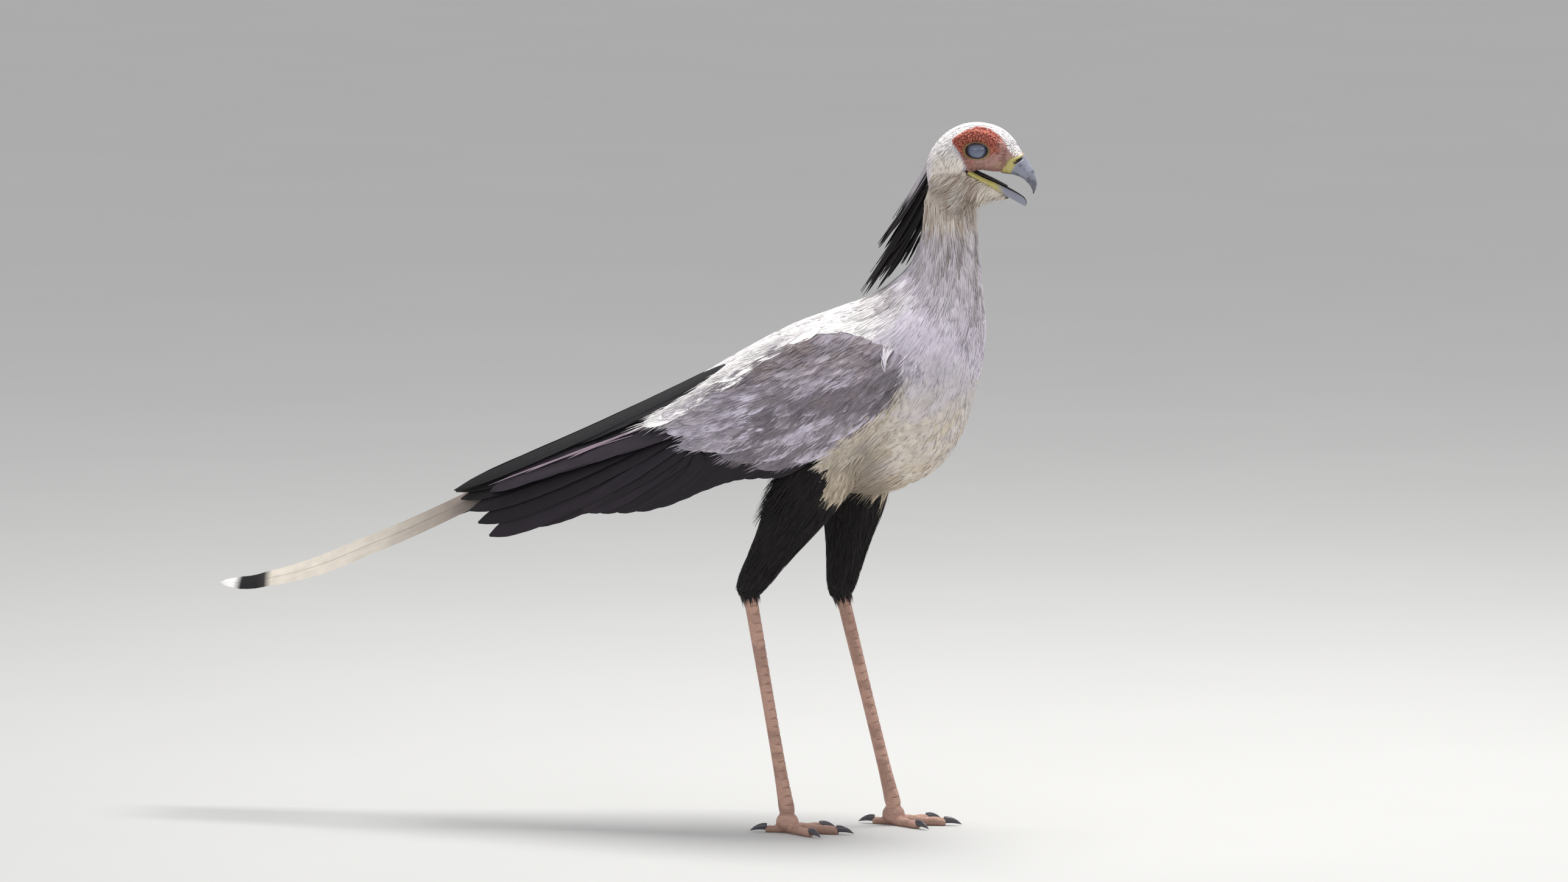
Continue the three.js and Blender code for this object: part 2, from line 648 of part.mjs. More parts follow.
function browRidge(side) {
  const points = [
    [143, 25, 873],
    [152, 28, 881.5],
    [166, 28.2, 886.5],
    [181, 26.2, 884.5],
    [194, 22.6, 878],
    [205, 18, 869],
  ].map(([x, y, z]) => new THREE.Vector3(x, side * y, z));
  const girth = [2.5, 4, 5, 5, 4, 2.2];
  return limb(points, girth, girth.map((g) => g * 1.1), 8, SIDEWAYS);
}

function cutPlane(sign) {
  const along = new THREE.Vector3(BILL_CUT.high[0] - BILL_CUT.low[0], 0, BILL_CUT.high[1] - BILL_CUT.low[1]);
  const normal = new THREE.Vector3(along.z, 0, -along.x).normalize().multiplyScalar(sign);
  const point = new THREE.Vector3(BILL_CUT.low[0], 0, BILL_CUT.low[1]);
  return halfSpace(point.addScaledVector(normal, GAP / 2), normal);
}

const skullAndBill = () => bodyLoft(SKULL, 0, SKULL.length - 1, 17, SKULL_SIDES);
const lowerBill = (grow) => bodyLoft(LOWER_BILL, 0, LOWER_BILL.length - 1, 8, 14, grow, -grow, grow);

const tongueSolid = (grow) => bodyLoft(TONGUE, 0, TONGUE.length - 1, 5, 10, grow, -grow, grow);

function headSolid() {
  const throat = new THREE.SphereGeometry(1, 12, 8).scale(17, 12, 7).rotateY(0.35).translate(160, 0, 840.5);
  const sides = [-1, 1];
  const chin = bodyLoft(CHIN, 0, CHIN.length - 1, 7, 14);
  const skull = skullAndBill().intersect(cutPlane(-1)).subtract(eyeHollow(-1)).subtract(eyeHollow(1));
  const flesh = join([
    skull,
    chin,
    headStump(),
    ...sides.map(browRidge),
    ...sides.map(eyelids),
    ...crestVanes(),
  ]);
  return flesh
    .subtract(eyeBall(-1, GAP))
    .subtract(eyeBall(1, GAP))
    .subtract(toSolid(throat))
    .subtract(lowerBill(GAP))
    .subtract(tongueSolid(GAP))
    .subtract(neckSolid(GAP))
    .subtract(trunkSolid(GAP));
}

function nostril(side) {
  const slot = new THREE.SphereGeometry(1, 10, 6).scale(5.6, 3.2, 1.9).rotateY(-0.38);
  return toSolid(slot.translate(219.8, side * 11.6, 850.6));
}

const upperBillSolid = () =>
  skullAndBill().intersect(cutPlane(1)).subtract(nostril(-1)).subtract(nostril(1));

function lowerBillSolid() {
  const trough = LOWER_BILL.map(({ back, belly, half }, i) => ({
    back: [back[0] + 3, back[1] + 6],
    belly: [mix(back[0], belly[0], 0.55), mix(back[1], belly[1], 0.55)],
    half: Math.max(0.8, half * (i < 5 ? 0.72 : 0.5)),
  }));
  return lowerBill(0).subtract(bodyLoft(trough, 0, trough.length - 2, 6, 10)).subtract(tongueSolid(GAP));
}


// Legs and feet
const at = ([x, y, z], side) => new THREE.Vector3(x, side * y, z);
function tarsusSolid({ side, heel, ankle }, grow = 0) {
  const [top, low] = [at(heel, side), at(ankle, side)];
  const down = low.clone().sub(top);
  const end = grow / down.length();
  const above = top.clone().addScaledVector(down, -0.055 - end);
  const path = [];
  const deep = [];
  const across = [];
  const add = (p, d, a) => {
    path.push(p);
    deep.push(d + grow);
    across.push(a + grow);
  };
  add(above, 8.5, 7.5);
  add(top.clone().addScaledVector(down, -0.02), 12.5, 10);
  add(top.clone().addScaledVector(down, 0.02), 12, 9.5);
  for (let i = 0; i < TARSUS_SCUTES; i++) {
    const t = mix(0.075, 0.93, i / TARSUS_SCUTES);
    const girth = mix(8, 7, Math.sin(Math.PI * t)) + 1.6 * Math.max(0, t - 0.8) * 5;
    add(top.clone().addScaledVector(down, t), girth, girth * 0.84);
    add(top.clone().addScaledVector(down, t + 0.052), girth + 0.9, girth * 0.84 + 0.5);
  }
  add(top.clone().addScaledVector(down, 0.965), 9.8, 9);
  add(top.clone().addScaledVector(down, 1 + end), 9.2, 8.6);
  return limb(path, deep, across, 8, SIDEWAYS);
}

function thighSolid({ side, hip, heel }, tarsus) {
  const [top, low] = [at(hip, side), at(heel, side)];
  const down = low.clone().sub(top);
  const stations = [
    [-0.12, 40, 26],
    [0.1, 45, 32],
    [0.3, 43, 31],
    [0.5, 36, 26],
    [0.68, 27.5, 20.5],
    [0.84, 20, 15],
    [0.95, 15.5, 12.5],
    [1.02, 11, 9],
  ];
  const path = stations.map(([t]) => top.clone().addScaledVector(down, t));
  const fat = limb(path, stations.map((s) => s[1]), stations.map((s) => s[2]), 16, SIDEWAYS);
  return fat.subtract(trunkSolid(GAP)).subtract(wingRoom(side)).subtract(tarsus);
}

// The heading of a toe on the ground, as a direction; the inner toes of both feet point inwards.
function toeHeading({ angle }, side) {
  const a = THREE.MathUtils.degToRad(angle) * side;
  return new THREE.Vector3(Math.cos(a), Math.sin(a), 0);
}

function toeSolid(toe, { side, ankle }) {
  const heading = toeHeading(toe, side);
  const sideways = new THREE.Vector3(-heading.y, heading.x, 0);
  const start = at(ankle, side);
  const rows = 6;
  const path = [];
  const deep = [];
  const across = [];
  for (let i = 0; i < rows; i++) {
    const t = i / (rows - 1);
    const radius = toe.radius * (1 - 0.22 * t) * (i % 2 ? 0.94 : 1.04);
    deep.push(radius * 0.92);
    across.push(radius);
    path.push(start.clone().setZ(deep[i] * TOE_REST).addScaledVector(heading, (toe.length + 1) * t));
  }
  const end = start.clone().addScaledVector(heading, toe.length);
  return limb(path, deep, across, 8, sideways).intersect(halfSpace(end, heading.clone().negate()));
}

function footSolid(leg) {
  const { side, ankle } = leg;
  const joint = at(ankle, side);
  const hub = new THREE.SphereGeometry(1, 10, 7).scale(14.5, 12.5, 13).translate(joint.x, joint.y, 13.5);
  const floor = halfSpace(new THREE.Vector3(0, 0, 0), new THREE.Vector3(0, 0, 1));
  return join([toSolid(hub), ...TOES.map((toe) => toeSolid(toe, leg))]).intersect(floor);
}

function clawSolid(toe, { side, ankle }) {
  const heading = toeHeading(toe, side);
  const sideways = new THREE.Vector3(-heading.y, heading.x, 0);
  const start = at(ankle, side).setZ(0);
  const reach = toe.name === "rear" ? 20 : 21;
  const path = run(5, (t) =>
    start
      .clone()
      .addScaledVector(heading, toe.length - 1 + (reach + 1) * t)
      .setZ(7.4 + 2 * t - 7.2 * t * t),
  );
  const girth = [4.4, 4.3, 3.4, 2.2, 0.7];
  const toeEnd = start.clone().addScaledVector(heading, toe.length + GAP);
  return limb(path, girth, girth.map((g) => g * 0.8), 8, sideways).intersect(halfSpace(toeEnd, heading));
}

function legMeshes(name, leg) {
  const tarsusRoom = tarsusSolid(leg, GAP);
  return [
    toMesh(`thigh_${name}`, thighSolid(leg, tarsusRoom), BLACK),
    toMesh(`tarsus_${name}`, tarsusSolid(leg), LEG_PINK),
    toMesh(`foot_${name}`, footSolid(leg).subtract(tarsusRoom), LEG_PINK),
    ...TOES.map((toe) => toMesh(`claw_${name}_${toe.name}`, clawSolid(toe, leg), CLAW_GREY)),
  ];
}

// The whole bird
const bird = new THREE.Group();
bird.add(
  toMesh("torso", trunkSolid(0), PALE_GREY),
  toMesh("neck", neckSolid(0), PALE_GREY),
  toMesh("head", headSolid(), FACE_RED),
  toMesh("upper_bill", upperBillSolid(), HORN_BLUE),
  toMesh("lower_bill", lowerBillSolid(), HORN_BLUE),
  toMesh("tongue", tongueSolid(0), TONGUE_DARK),
  toMesh("eye_right", eyeBall(-1), EYE_MEMBRANE),
  toMesh("eye_left", eyeBall(1), EYE_MEMBRANE),
  toMesh("wing_right", wingSolid(-1), WING_GREY),
  toMesh("wing_left", wingSolid(1), WING_GREY),
  toMesh("tail", tailSolid(), PALE_GREY),
  ...legMeshes("right", LEGS.right),
  ...legMeshes("left", LEGS.left),
);

// The origin is on the floor, under the middle of the bird's box.
bird.updateMatrixWorld(true);
const box = new THREE.Box3().setFromObject(bird);
bird.position.set(-(box.min.x + box.max.x) / 2, -(box.min.y + box.max.y) / 2, -box.min.z);

export default bird;
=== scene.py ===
import math

import bmesh
import bpy
import numpy as np
from mathutils import Matrix, Vector
from mathutils.bvhtree import BVHTree


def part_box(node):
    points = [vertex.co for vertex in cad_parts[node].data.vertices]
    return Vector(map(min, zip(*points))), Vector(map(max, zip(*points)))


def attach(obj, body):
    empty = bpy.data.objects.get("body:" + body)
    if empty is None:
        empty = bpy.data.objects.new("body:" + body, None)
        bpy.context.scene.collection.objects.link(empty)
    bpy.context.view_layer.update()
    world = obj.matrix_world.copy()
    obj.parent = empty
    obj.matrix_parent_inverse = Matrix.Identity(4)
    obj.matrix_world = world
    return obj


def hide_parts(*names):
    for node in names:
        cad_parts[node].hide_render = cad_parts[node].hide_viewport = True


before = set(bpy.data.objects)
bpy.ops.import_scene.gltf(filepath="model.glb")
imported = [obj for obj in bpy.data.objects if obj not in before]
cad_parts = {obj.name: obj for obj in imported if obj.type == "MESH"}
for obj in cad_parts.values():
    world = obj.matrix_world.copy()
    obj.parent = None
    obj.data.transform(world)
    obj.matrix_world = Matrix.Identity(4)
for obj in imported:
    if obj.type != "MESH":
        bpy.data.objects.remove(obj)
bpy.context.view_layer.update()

# The solids' own measures
EYE_CENTRE = np.array([172, 18.6, 868])
EYE_RADIUS = 13.2
# Stations of trunk and neck, then of skull and bill: back x, z, belly x, z and half width.
TRUNK = np.array([
    [-212, 561, -206, 536.1, 19], [-178, 581.8, -166, 504.1, 40], [-132, 608.9, -112, 474.3, 62],
    [-72, 641.3, -50, 447.8, 78], [-12, 664.7, 20, 433.5, 84], [26, 678.6, 80, 439.9, 81],
    [46, 690.1, 122, 465.9, 74], [61, 701.4, 147, 504.5, 67], [73, 711.7, 163, 551.9, 60],
    [83, 723, 174, 594.1, 53], [90, 734.1, 178, 632.2, 46.5], [95, 748.3, 174.5, 676.1, 41],
    [98, 766.3, 171.5, 716.1, 36.5], [99.5, 787.4, 168.5, 752, 33.5], [101, 807.4, 165, 782.9, 32],
    [104, 828.5, 160, 805.8, 31],
])
SKULL = np.array([
    [106, 854.5, 105, 828.5, 11], [112, 868.7, 112, 813.7, 22], [124, 883.9, 126, 809, 28.5],
    [138, 894.3, 142, 815.4, 31.5], [153, 900.1, 158, 832.7, 32], [168, 901.8, 170, 841, 30.5],
    [183, 900.3, 181, 840.3, 27], [196, 896.6, 190, 838.9, 23], [207, 889.9, 198, 837.7, 19.5],
    [216, 880.6, 204, 836.8, 16.5], [223, 869.8, 209.5, 836.2, 13.8], [228.5, 860.4, 214, 835.7, 12],
    [234, 851.5, 219, 834.4, 10.4], [239.5, 842.7, 224.5, 832.1, 8.6], [242.3, 834.5, 229.5, 828.6, 6.6],
    [244, 826, 235, 822.6, 4.5], [242.8, 818.5, 238.3, 817, 2.4], [240, 812.2, 239, 812.2, 0.7],
])
CHIN = np.array([
    [112, 850.7, 106, 818.5, 20], [127, 859, 119, 803.8, 28], [146, 851.5, 139, 795.3, 29.5],
    [160, 840.8, 155, 789.7, 25.5], [174, 833.1, 169, 793, 19], [190, 823.5, 186, 797.4, 12.5],
    [203, 814.8, 201, 796.8, 7], [210, 808, 209.5, 801, 3],
])
LOWER_BILL = np.array([
    [161, 842.8, 158, 834.7, 20], [178, 834.2, 173.5, 825.6, 16.5], [195, 827.1, 190, 817, 13],
    [210, 820, 205, 808.7, 9.8], [220.5, 814.5, 215.5, 803, 7.2], [227.8, 809.5, 224.5, 798.5, 4.8],
    [231.2, 803.5, 229.8, 796.3, 2],
])
TONGUE = np.array([
    [139, 848.8, 138, 844.3, 5], [158, 843.7, 156.5, 838.7, 6.5], [176, 837.2, 174, 832.1, 6.5],
    [194, 829.1, 192, 824.6, 5], [207, 822.4, 206, 819.9, 2.6],
])
BILL_CUT_LOW = np.array([206, 836.6])
BILL_CUT_HIGH = np.array([227, 862.4])
# The sheet that the folded wing lies on: x, top z, bottom z and the distance from the middle plane at its
# top, middle and bottom.
WING_SHEET = np.array([
    [96, 606.3, 574.3, 62, 70, 66], [82, 623.9, 557.9, 57, 82, 74], [60, 639.4, 533.4, 49, 92, 82],
    [20, 651.5, 502.5, 41, 99, 85], [-40, 649.1, 471.1, 36, 100, 82], [-100, 627.6, 455.6, 31, 95, 77],
    [-160, 597.2, 443.2, 26, 86, 71], [-220, 560.8, 424.8, 23, 75, 65], [-280, 527.4, 405.4, 21, 65, 60],
    [-340, 497.9, 393.9, 20, 56, 54], [-400, 470.5, 377.5, 19, 48, 48], [-460, 444.1, 355.1, 18, 41, 43],
    [-520, 417.7, 332.7, 17, 35, 38],
])
TAIL_LINE = np.array([[-205, 548.1], [-300, 501.9], [-463, 419], [-621, 346.3], [-753, 298.2], [-818, 288.6]])
TAIL_ROLL = math.radians(42)
RECTRIX_REACH = [-818, -560, -520, -488, -462, -440]
ANKLE_HEIGHT = 24
LEGS = {
    "right": {"side": -1, "hip": (-14, 44, 478), "heel": (-116, 47, 310), "ankle": (-66, 47, ANKLE_HEIGHT)},
    "left": {"side": 1, "hip": (10, 44, 478), "heel": (-17, 47, 300), "ankle": (52, 47, ANKLE_HEIGHT)},
}
TOES = {"middle": (4, 66, 7.6), "inner": (-38, 47, 7), "outer": (42, 50, 7), "rear": (172, 27, 6)}
TOE_REST = 0.88

MM = 0.001
eye_low, eye_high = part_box("eye_right")
SHIFT = np.array([(eye_low[0] + eye_high[0]) / 2 / MM - EYE_CENTRE[0], 0, 0])
UP = np.array([0, 0, 1.0])


def placed(points):
    return (np.asarray(points, float) + SHIFT) * MM


# Numbers and curves
def mix(a, b, t):
    return a + (b - a) * t


def step(low, high, value):
    """0 below `low`, 1 above `high` and smooth between them."""
    t = np.clip((value - low) / (high - low), 0, 1)
    return t * t * (3 - 2 * t)


NOISE_SIZE = 128


def value_noise(u, v, seed):
    table = np.random.default_rng(seed).random((NOISE_SIZE, NOISE_SIZE))
    iu, iv = np.floor(u).astype(int), np.floor(v).astype(int)
    fu, fv = step(0, 1, u - iu), step(0, 1, v - iv)
    read = [[table[(iu + a) % NOISE_SIZE, (iv + b) % NOISE_SIZE] for b in (0, 1)] for a in (0, 1)]
    return mix(mix(read[0][0], read[1][0], fu), mix(read[0][1], read[1][1], fu), fv)


def unit(v):
    return v / np.maximum(np.linalg.norm(v, axis=-1, keepdims=True), 1e-9)


def smooth(table, t):
    """Rows of a table at fractional steps, on a smooth curve through them."""
    table = np.asarray(table, float)
    t = np.clip(t, 0, len(table) - 1)
    i = np.minimum(np.floor(t).astype(int), len(table) - 2)
    f = np.asarray(t - i)[..., None]
    a, b, c, d = (table[np.clip(i + k, 0, len(table) - 1)] for k in (-1, 0, 1, 2))
    return b + 0.5 * f * (c - a + f * (2 * a - 5 * b + 4 * c - d + f * (3 * (b - c) + d - a)))


def curve(points, x):
    """Straight-line reading of (x, value) pairs in any order."""
    p = np.array(sorted(points), float)
    return np.interp(x, p[:, 0], p[:, 1])


def section(stations, t, angle, grow=0):
    """Points round the body at station t; angle 0 is the back, pi the belly, and a positive sine the left."""
    row = smooth(stations, t)
    zero = np.zeros_like(row[..., 0])
    back = np.stack([row[..., 0], zero, row[..., 1]], -1)
    belly = np.stack([row[..., 2], zero, row[..., 3]], -1)
    up = back - belly
    length = np.linalg.norm(up, axis=-1)
    up = up / length[..., None]
    reach = (length / 2 + grow) * np.cos(angle)
    half = (row[..., 4] + grow) * np.sin(angle)
    return (back + belly) / 2 + up * reach[..., None] + np.stack([zero, half, zero], -1)


def around(sides):
    """The angles of a ring's corners."""
    return np.linspace(0, 2 * math.pi, sides, endpoint=False)


def grid(start, end, rows, sides):
    """Stations and angles of all corners of a loft, as two arrays (rows, sides)."""
    return np.meshgrid(np.linspace(start, end, rows), around(sides), indexing="ij")


def turned_axes(x, z, angle):
    """The same places on axes turned by an angle."""
    c, s = math.cos(angle), math.sin(angle)
    return x * c + z * s, z * c - x * s


def profile_of(shape, rows):
    """Widths from root to tip, spread over the rows of a blade."""
    return np.interp(np.linspace(0, 1, rows), np.linspace(0, 1, len(shape)), shape)


# Meshes from arrays
def linked(name, data):
    made = bpy.data.objects.new(name, data)
    bpy.context.scene.collection.objects.link(made)
    return made


def shade_smooth(mesh):
    mesh.polygons.foreach_set("use_smooth", np.ones(len(mesh.polygons), bool))


def build(name, points, loops, sizes, uvs=None, tint=None, sharp=None):
    """A mesh object from points in millimetres, flat corner indices and each face's number of corners."""
    mesh = bpy.data.meshes.new(name)
    mesh.vertices.add(len(points))
    mesh.vertices.foreach_set("co", placed(points).astype(np.float32).ravel())
    mesh.loops.add(len(loops))
    mesh.loops.foreach_set("vertex_index", np.asarray(loops, np.int32))
    mesh.polygons.add(len(sizes))
    starts = np.concatenate([[0], np.cumsum(sizes)[:-1]])
    mesh.polygons.foreach_set("loop_start", starts.astype(np.int32))
    mesh.update(calc_edges=True)
    mesh.validate()
    shade_smooth(mesh)
    for key, values in (uvs or {}).items():
        layer = mesh.uv_layers.new(name=key)
        layer.data.foreach_set("uv", np.asarray(values, np.float32).ravel())
    if tint is not None:
        paint(mesh, tint)
    if sharp is not None:
        ends = np.empty(len(mesh.edges) * 2, np.int32)
        mesh.edges.foreach_get("vertices", ends)
        ends = sharp[ends.reshape(-1, 2)]
        mesh.edges.foreach_set("use_edge_sharp", (ends[:, 0] > 0) & (ends[:, 0] == ends[:, 1]))
    return linked(name, mesh)


def paint(mesh, tint):
    values = np.ones((len(mesh.vertices), 4), np.float32)
    values[:, :3] = tint
    layer = mesh.color_attributes.new("Tint", "FLOAT_COLOR", "POINT")
    layer.data.foreach_set("color", values.ravel())


def loft(rings):
    """Closed skin over rings (rows, sides, 3) with a many-sided face at each end."""
    rows, sides = rings.shape[:2]
    at = np.arange(rows * sides).reshape(rows, sides)
    a, b = at[:-1], np.roll(at[:-1], -1, 1)
    c, d = np.roll(at[1:], -1, 1), at[1:]
    quads = np.stack([a, b, c, d], -1).reshape(-1)
    loops = np.concatenate([quads, at[0][::-1], at[-1]])
    sizes = np.concatenate([np.full((rows - 1) * sides, 4), [sides, sides]])
    return rings.reshape(-1, 3), loops, sizes


def body_loft(stations, start, end, rows, sides, grow=0):
    return loft(section(stations, *grid(start, end, rows, sides), grow))


def limb(path, deep, across, sides, sideways=(0, 1, 0)):
    """Oval rings along a path; `deep` is its half size front to back and `across` sideways."""
    along = unit(np.gradient(path, axis=0))
    side = np.broadcast_to(np.asarray(sideways, float), along.shape)
    front = unit(np.cross(side, along))
    angle = around(sides)[None, :, None]
    ring = front[:, None] * np.cos(angle) * deep[:, None, None]
    ring = ring + side[:, None] * np.sin(angle) * across[:, None, None]
    return loft(path[:, None] + ring)


def joined(parts):
    """Several (points, loops, sizes) as one."""
    points, loops, sizes, base = [], [], [], 0
    for p, l, s in parts:
        points.append(p)
        loops.append(np.asarray(l) + base)
        sizes.append(s)
        base += len(p)
    return np.concatenate(points), np.concatenate(loops), np.concatenate(sizes)


def coordinates(mesh):
    flat = np.empty(len(mesh.vertices) * 3, np.float32)
    mesh.vertices.foreach_get("co", flat)
    return flat.reshape(-1, 3).astype(float) / MM - SHIFT


def move_points(mesh, points):
    mesh.vertices.foreach_set("co", placed(points).astype(np.float32).ravel())
    mesh.update()


def fused(name, parts, voxel, rounds=4):
    """One closed skin round several overlapping closed forms."""
    raw = build(name + "_raw", *joined(parts))
    remesh = raw.modifiers.new("fuse", "REMESH")
    remesh.mode = "VOXEL"
    remesh.voxel_size = voxel * MM
    ease = raw.modifiers.new("ease", "SMOOTH")
    ease.factor = 0.5
    ease.iterations = rounds
    graph = bpy.context.evaluated_depsgraph_get()
    mesh = bpy.data.meshes.new_from_object(raw.evaluated_get(graph))
    bpy.data.objects.remove(raw)
    mesh.name = name
    shade_smooth(mesh)
    return linked(name, mesh)


def tree_of(obj):
    faces = [tuple(p.vertices) for p in obj.data.polygons]
    return BVHTree.FromPolygons(coordinates(obj.data).tolist(), faces)


def nearest(tree, points):
    """Closest points of a surface and its outward normals there."""
    found = [tree.find_nearest(p) for p in points.tolist()]
    return np.array([f[0][:] for f in found]), np.array([f[1][:] for f in found])


# Feathers as closed blades: rings of a few points along a middle line
TUFT_RING = np.array([[-1, 0], [0, 1], [1, 0]])
VANE_RING = np.array([[-1, 0], [-0.55, 0.8], [0, 1.25], [0.55, 0.8], [1, 0], [0.55, -0.5], [0, -0.2],
                      [-0.55, -0.5]])
PATCH = 0.003  # each tuft's share of the bake map
LOTS = 400  # feathers with a streak pattern of their own
TRIES = 5  # random points tried for each one kept
CELL_KEYS = np.array([73856093, 19349663, 83492791])


def blades(name, centre, across, out, half, depth, ring, roots, tint, patch=PATCH):
    """One object of closed blades, in arrays (blades, rows, ...); `roots` are their places on the map."""
    count, rows = half.shape
    sides = len(ring)
    spread = half[..., None] * ring[:, 0]
    rise = depth[..., None] * ring[:, 1]
    points = centre[:, :, None] + across[:, :, None] * spread[..., None] + out[:, :, None] * rise[..., None]
    at = np.arange(count * rows * sides).reshape(count, rows, sides)
    a, b = at[:, :-1], np.roll(at[:, :-1], -1, 2)
    c, d = np.roll(at[:, 1:], -1, 2), at[:, 1:]
    quads = np.stack([a, d, c, b], -1).reshape(-1)
    loops = np.concatenate([quads, at[:, 0].reshape(-1), at[:, -1, ::-1].reshape(-1)])
    sizes = np.concatenate([np.full(count * (rows - 1) * sides, 4), np.full(count * 2, sides)])
    u = np.broadcast_to((ring[:, 0] + 1) / 2, (count, rows, sides))
    v = np.broadcast_to(np.linspace(0, 1, rows)[None, :, None], (count, rows, sides))
    lots = np.arange(count) % LOTS
    vane = np.stack([u + 2 * lots[:, None, None], v], -1).reshape(-1, 2)
    bake = roots[:, None, None] + np.stack([u - 0.5, v - 0.5], -1) * patch
    edge = np.zeros(sides, int)
    edge[0], edge[np.argmax(ring[:, 0])] = 1, 2
    sharp = np.broadcast_to(edge, (count, rows, sides)).reshape(-1)
    tint = tint[:, None, None] if tint.ndim == 2 else tint[:, :, None]
    tints = np.broadcast_to(tint, (count, rows, sides, 3)).reshape(-1, 3)
    maps = {"OFBake": bake.reshape(-1, 2)[loops], "Vane": vane[loops]}
    return build(name, points.reshape(-1, 3), loops, sizes, maps, tints, sharp)


def frames(centre, out):
    """Side and outward directions along each middle line."""
    along = unit(np.gradient(centre, axis=1))
    across = unit(np.cross(along, out))
    return across, unit(np.cross(across, along))


def tufts(name, centre, out, half, roots, tint, material, thick=0.3):
    """One piece of thin strands, given by their middle lines and outward directions."""
    across, out = frames(centre, out)
    made = blades(name, centre, across, out, half, half * thick, TUFT_RING, roots, tint)
    assign(made, material)


def long_vanes(name, rows, thick, stride, patch, material, replaces=()):
    """One piece of long vanes from a list of (middle line, outward directions, half widths, tints)."""
    centre, out, half, tint = (np.array(v) for v in zip(*rows))
    across, out = frames(centre, out)
    u = 0.05 + stride * np.arange(len(centre))
    roots = np.stack([u, np.full(len(u), 0.5)], -1)
    made = blades(name, centre, across, out, half, np.full(half.shape, thick), VANE_RING, roots, tint, patch)
    assign(made, material, replaces)


def lay(tree, roots, flow, length, rows, lift):
    """Middle lines that start at `roots` and follow `flow` over a surface, `lift` (blades, rows) above it."""
    centre = np.empty((len(roots), rows, 3))
    out = np.empty_like(centre)
    p = roots
    for r in range(rows):
        near, normal = nearest(tree, p)
        centre[:, r] = near + normal * lift[:, r, None]
        out[:, r] = normal
        ahead = flow(near, normal)
        ahead = unit(ahead - normal * np.sum(ahead * normal, -1, keepdims=True))
        p = near + ahead * (length / (rows - 1))[:, None]
    return centre, out


def seeds(obj, keep, spacing, rng):
    """Random points on a surface, about `spacing` apart where `keep` is 1 and sparser below."""
    mesh = obj.data
    mesh.calc_loop_triangles()
    corners = np.empty(len(mesh.loop_triangles) * 3, np.int32)
    mesh.loop_triangles.foreach_get("vertices", corners)
    tri = coordinates(mesh)[corners.reshape(-1, 3)]
    weight = 1.0 * keep(tri.mean(1))
    area = np.linalg.norm(np.cross(tri[:, 1] - tri[:, 0], tri[:, 2] - tri[:, 0]), axis=1) / 2
    share = area * (weight > 0)
    count = int(share.sum() / spacing ** 2 * TRIES)
    pick = rng.choice(len(tri), count, p=share / share.sum())
    a, b = rng.random((2, count, 1))
    a, b = np.where(a + b > 1, 1 - a, a), np.where(a + b > 1, 1 - b, b)
    points = tri[pick, 0] + a * (tri[pick, 1] - tri[pick, 0]) + b * (tri[pick, 2] - tri[pick, 0])
    size = spacing / np.sqrt(np.maximum(weight[pick], 0.02))
    cell = np.floor(points / size[:, None]).astype(np.int64) * CELL_KEYS
    first = np.unique(cell[:, 0] ^ cell[:, 1] ^ cell[:, 2], return_index=True)[1]
    return points[np.sort(first)]


# Colours, as they look, turned into the linear values that the shaders use
def colour(r, g, b):
    c = np.array([r, g, b], float)
    return np.where(c <= 0.04045, c / 12.92, ((c + 0.055) / 1.055) ** 2.4)


WHITE = colour(0.93, 0.92, 0.915)
LILAC = colour(0.89, 0.86, 0.91)
NECK_GREY = colour(0.87, 0.84, 0.87)
STREAK = colour(0.50, 0.45, 0.43)
TAN = colour(0.62, 0.53, 0.46)
BUFF = colour(0.88, 0.81, 0.71)
CREAM = colour(0.94, 0.90, 0.85)
WING_PALE = colour(0.84, 0.81, 0.87)
WING_DARK = colour(0.52, 0.49, 0.53)
WING_BROWN = colour(0.58, 0.53, 0.52)
BLACK = colour(0.08, 0.07, 0.08)
BLACK_BROWN = colour(0.14, 0.12, 0.12)
# partly the flight feathers' own purple-brown, partly a painted purple sheen
PURPLE_AND_SHEEN = colour(0.21, 0.18, 0.22)
EDGE_LILAC = colour(0.60, 0.53, 0.58)
RED = colour(0.71, 0.36, 0.31)
ORANGE = colour(0.80, 0.48, 0.39)
MAUVE = colour(0.71, 0.56, 0.53)
OLIVE = colour(0.62, 0.56, 0.34)
LID_DARK = colour(0.30, 0.22, 0.18)
YELLOW = colour(0.79, 0.75, 0.44)
HORN = colour(0.55, 0.56, 0.62)
HORN_DARK = colour(0.20, 0.19, 0.21)
# painted shadow: near black for the shade inside the mouth, in the nostril and along the lower bill's groove
MOUTH_SHADOW = colour(0.09, 0.07, 0.08)
LEG = colour(0.78, 0.62, 0.55)
SCUTE_EDGE = colour(0.55, 0.42, 0.37)


def blend(base, other, amount):
    return base + (other - base) * np.asarray(amount)[..., None]


# Where a point lies on the trunk and neck: station and angle
LAST_STATION = len(TRUNK) - 1
STATION_LENGTH = 32  # about the millimetres from one station to the next
STATION_STEPS = np.linspace(0, LAST_STATION, 181)
STATION_ROWS = smooth(TRUNK, STATION_STEPS)
CHUNK = 20000  # points looked up at a time


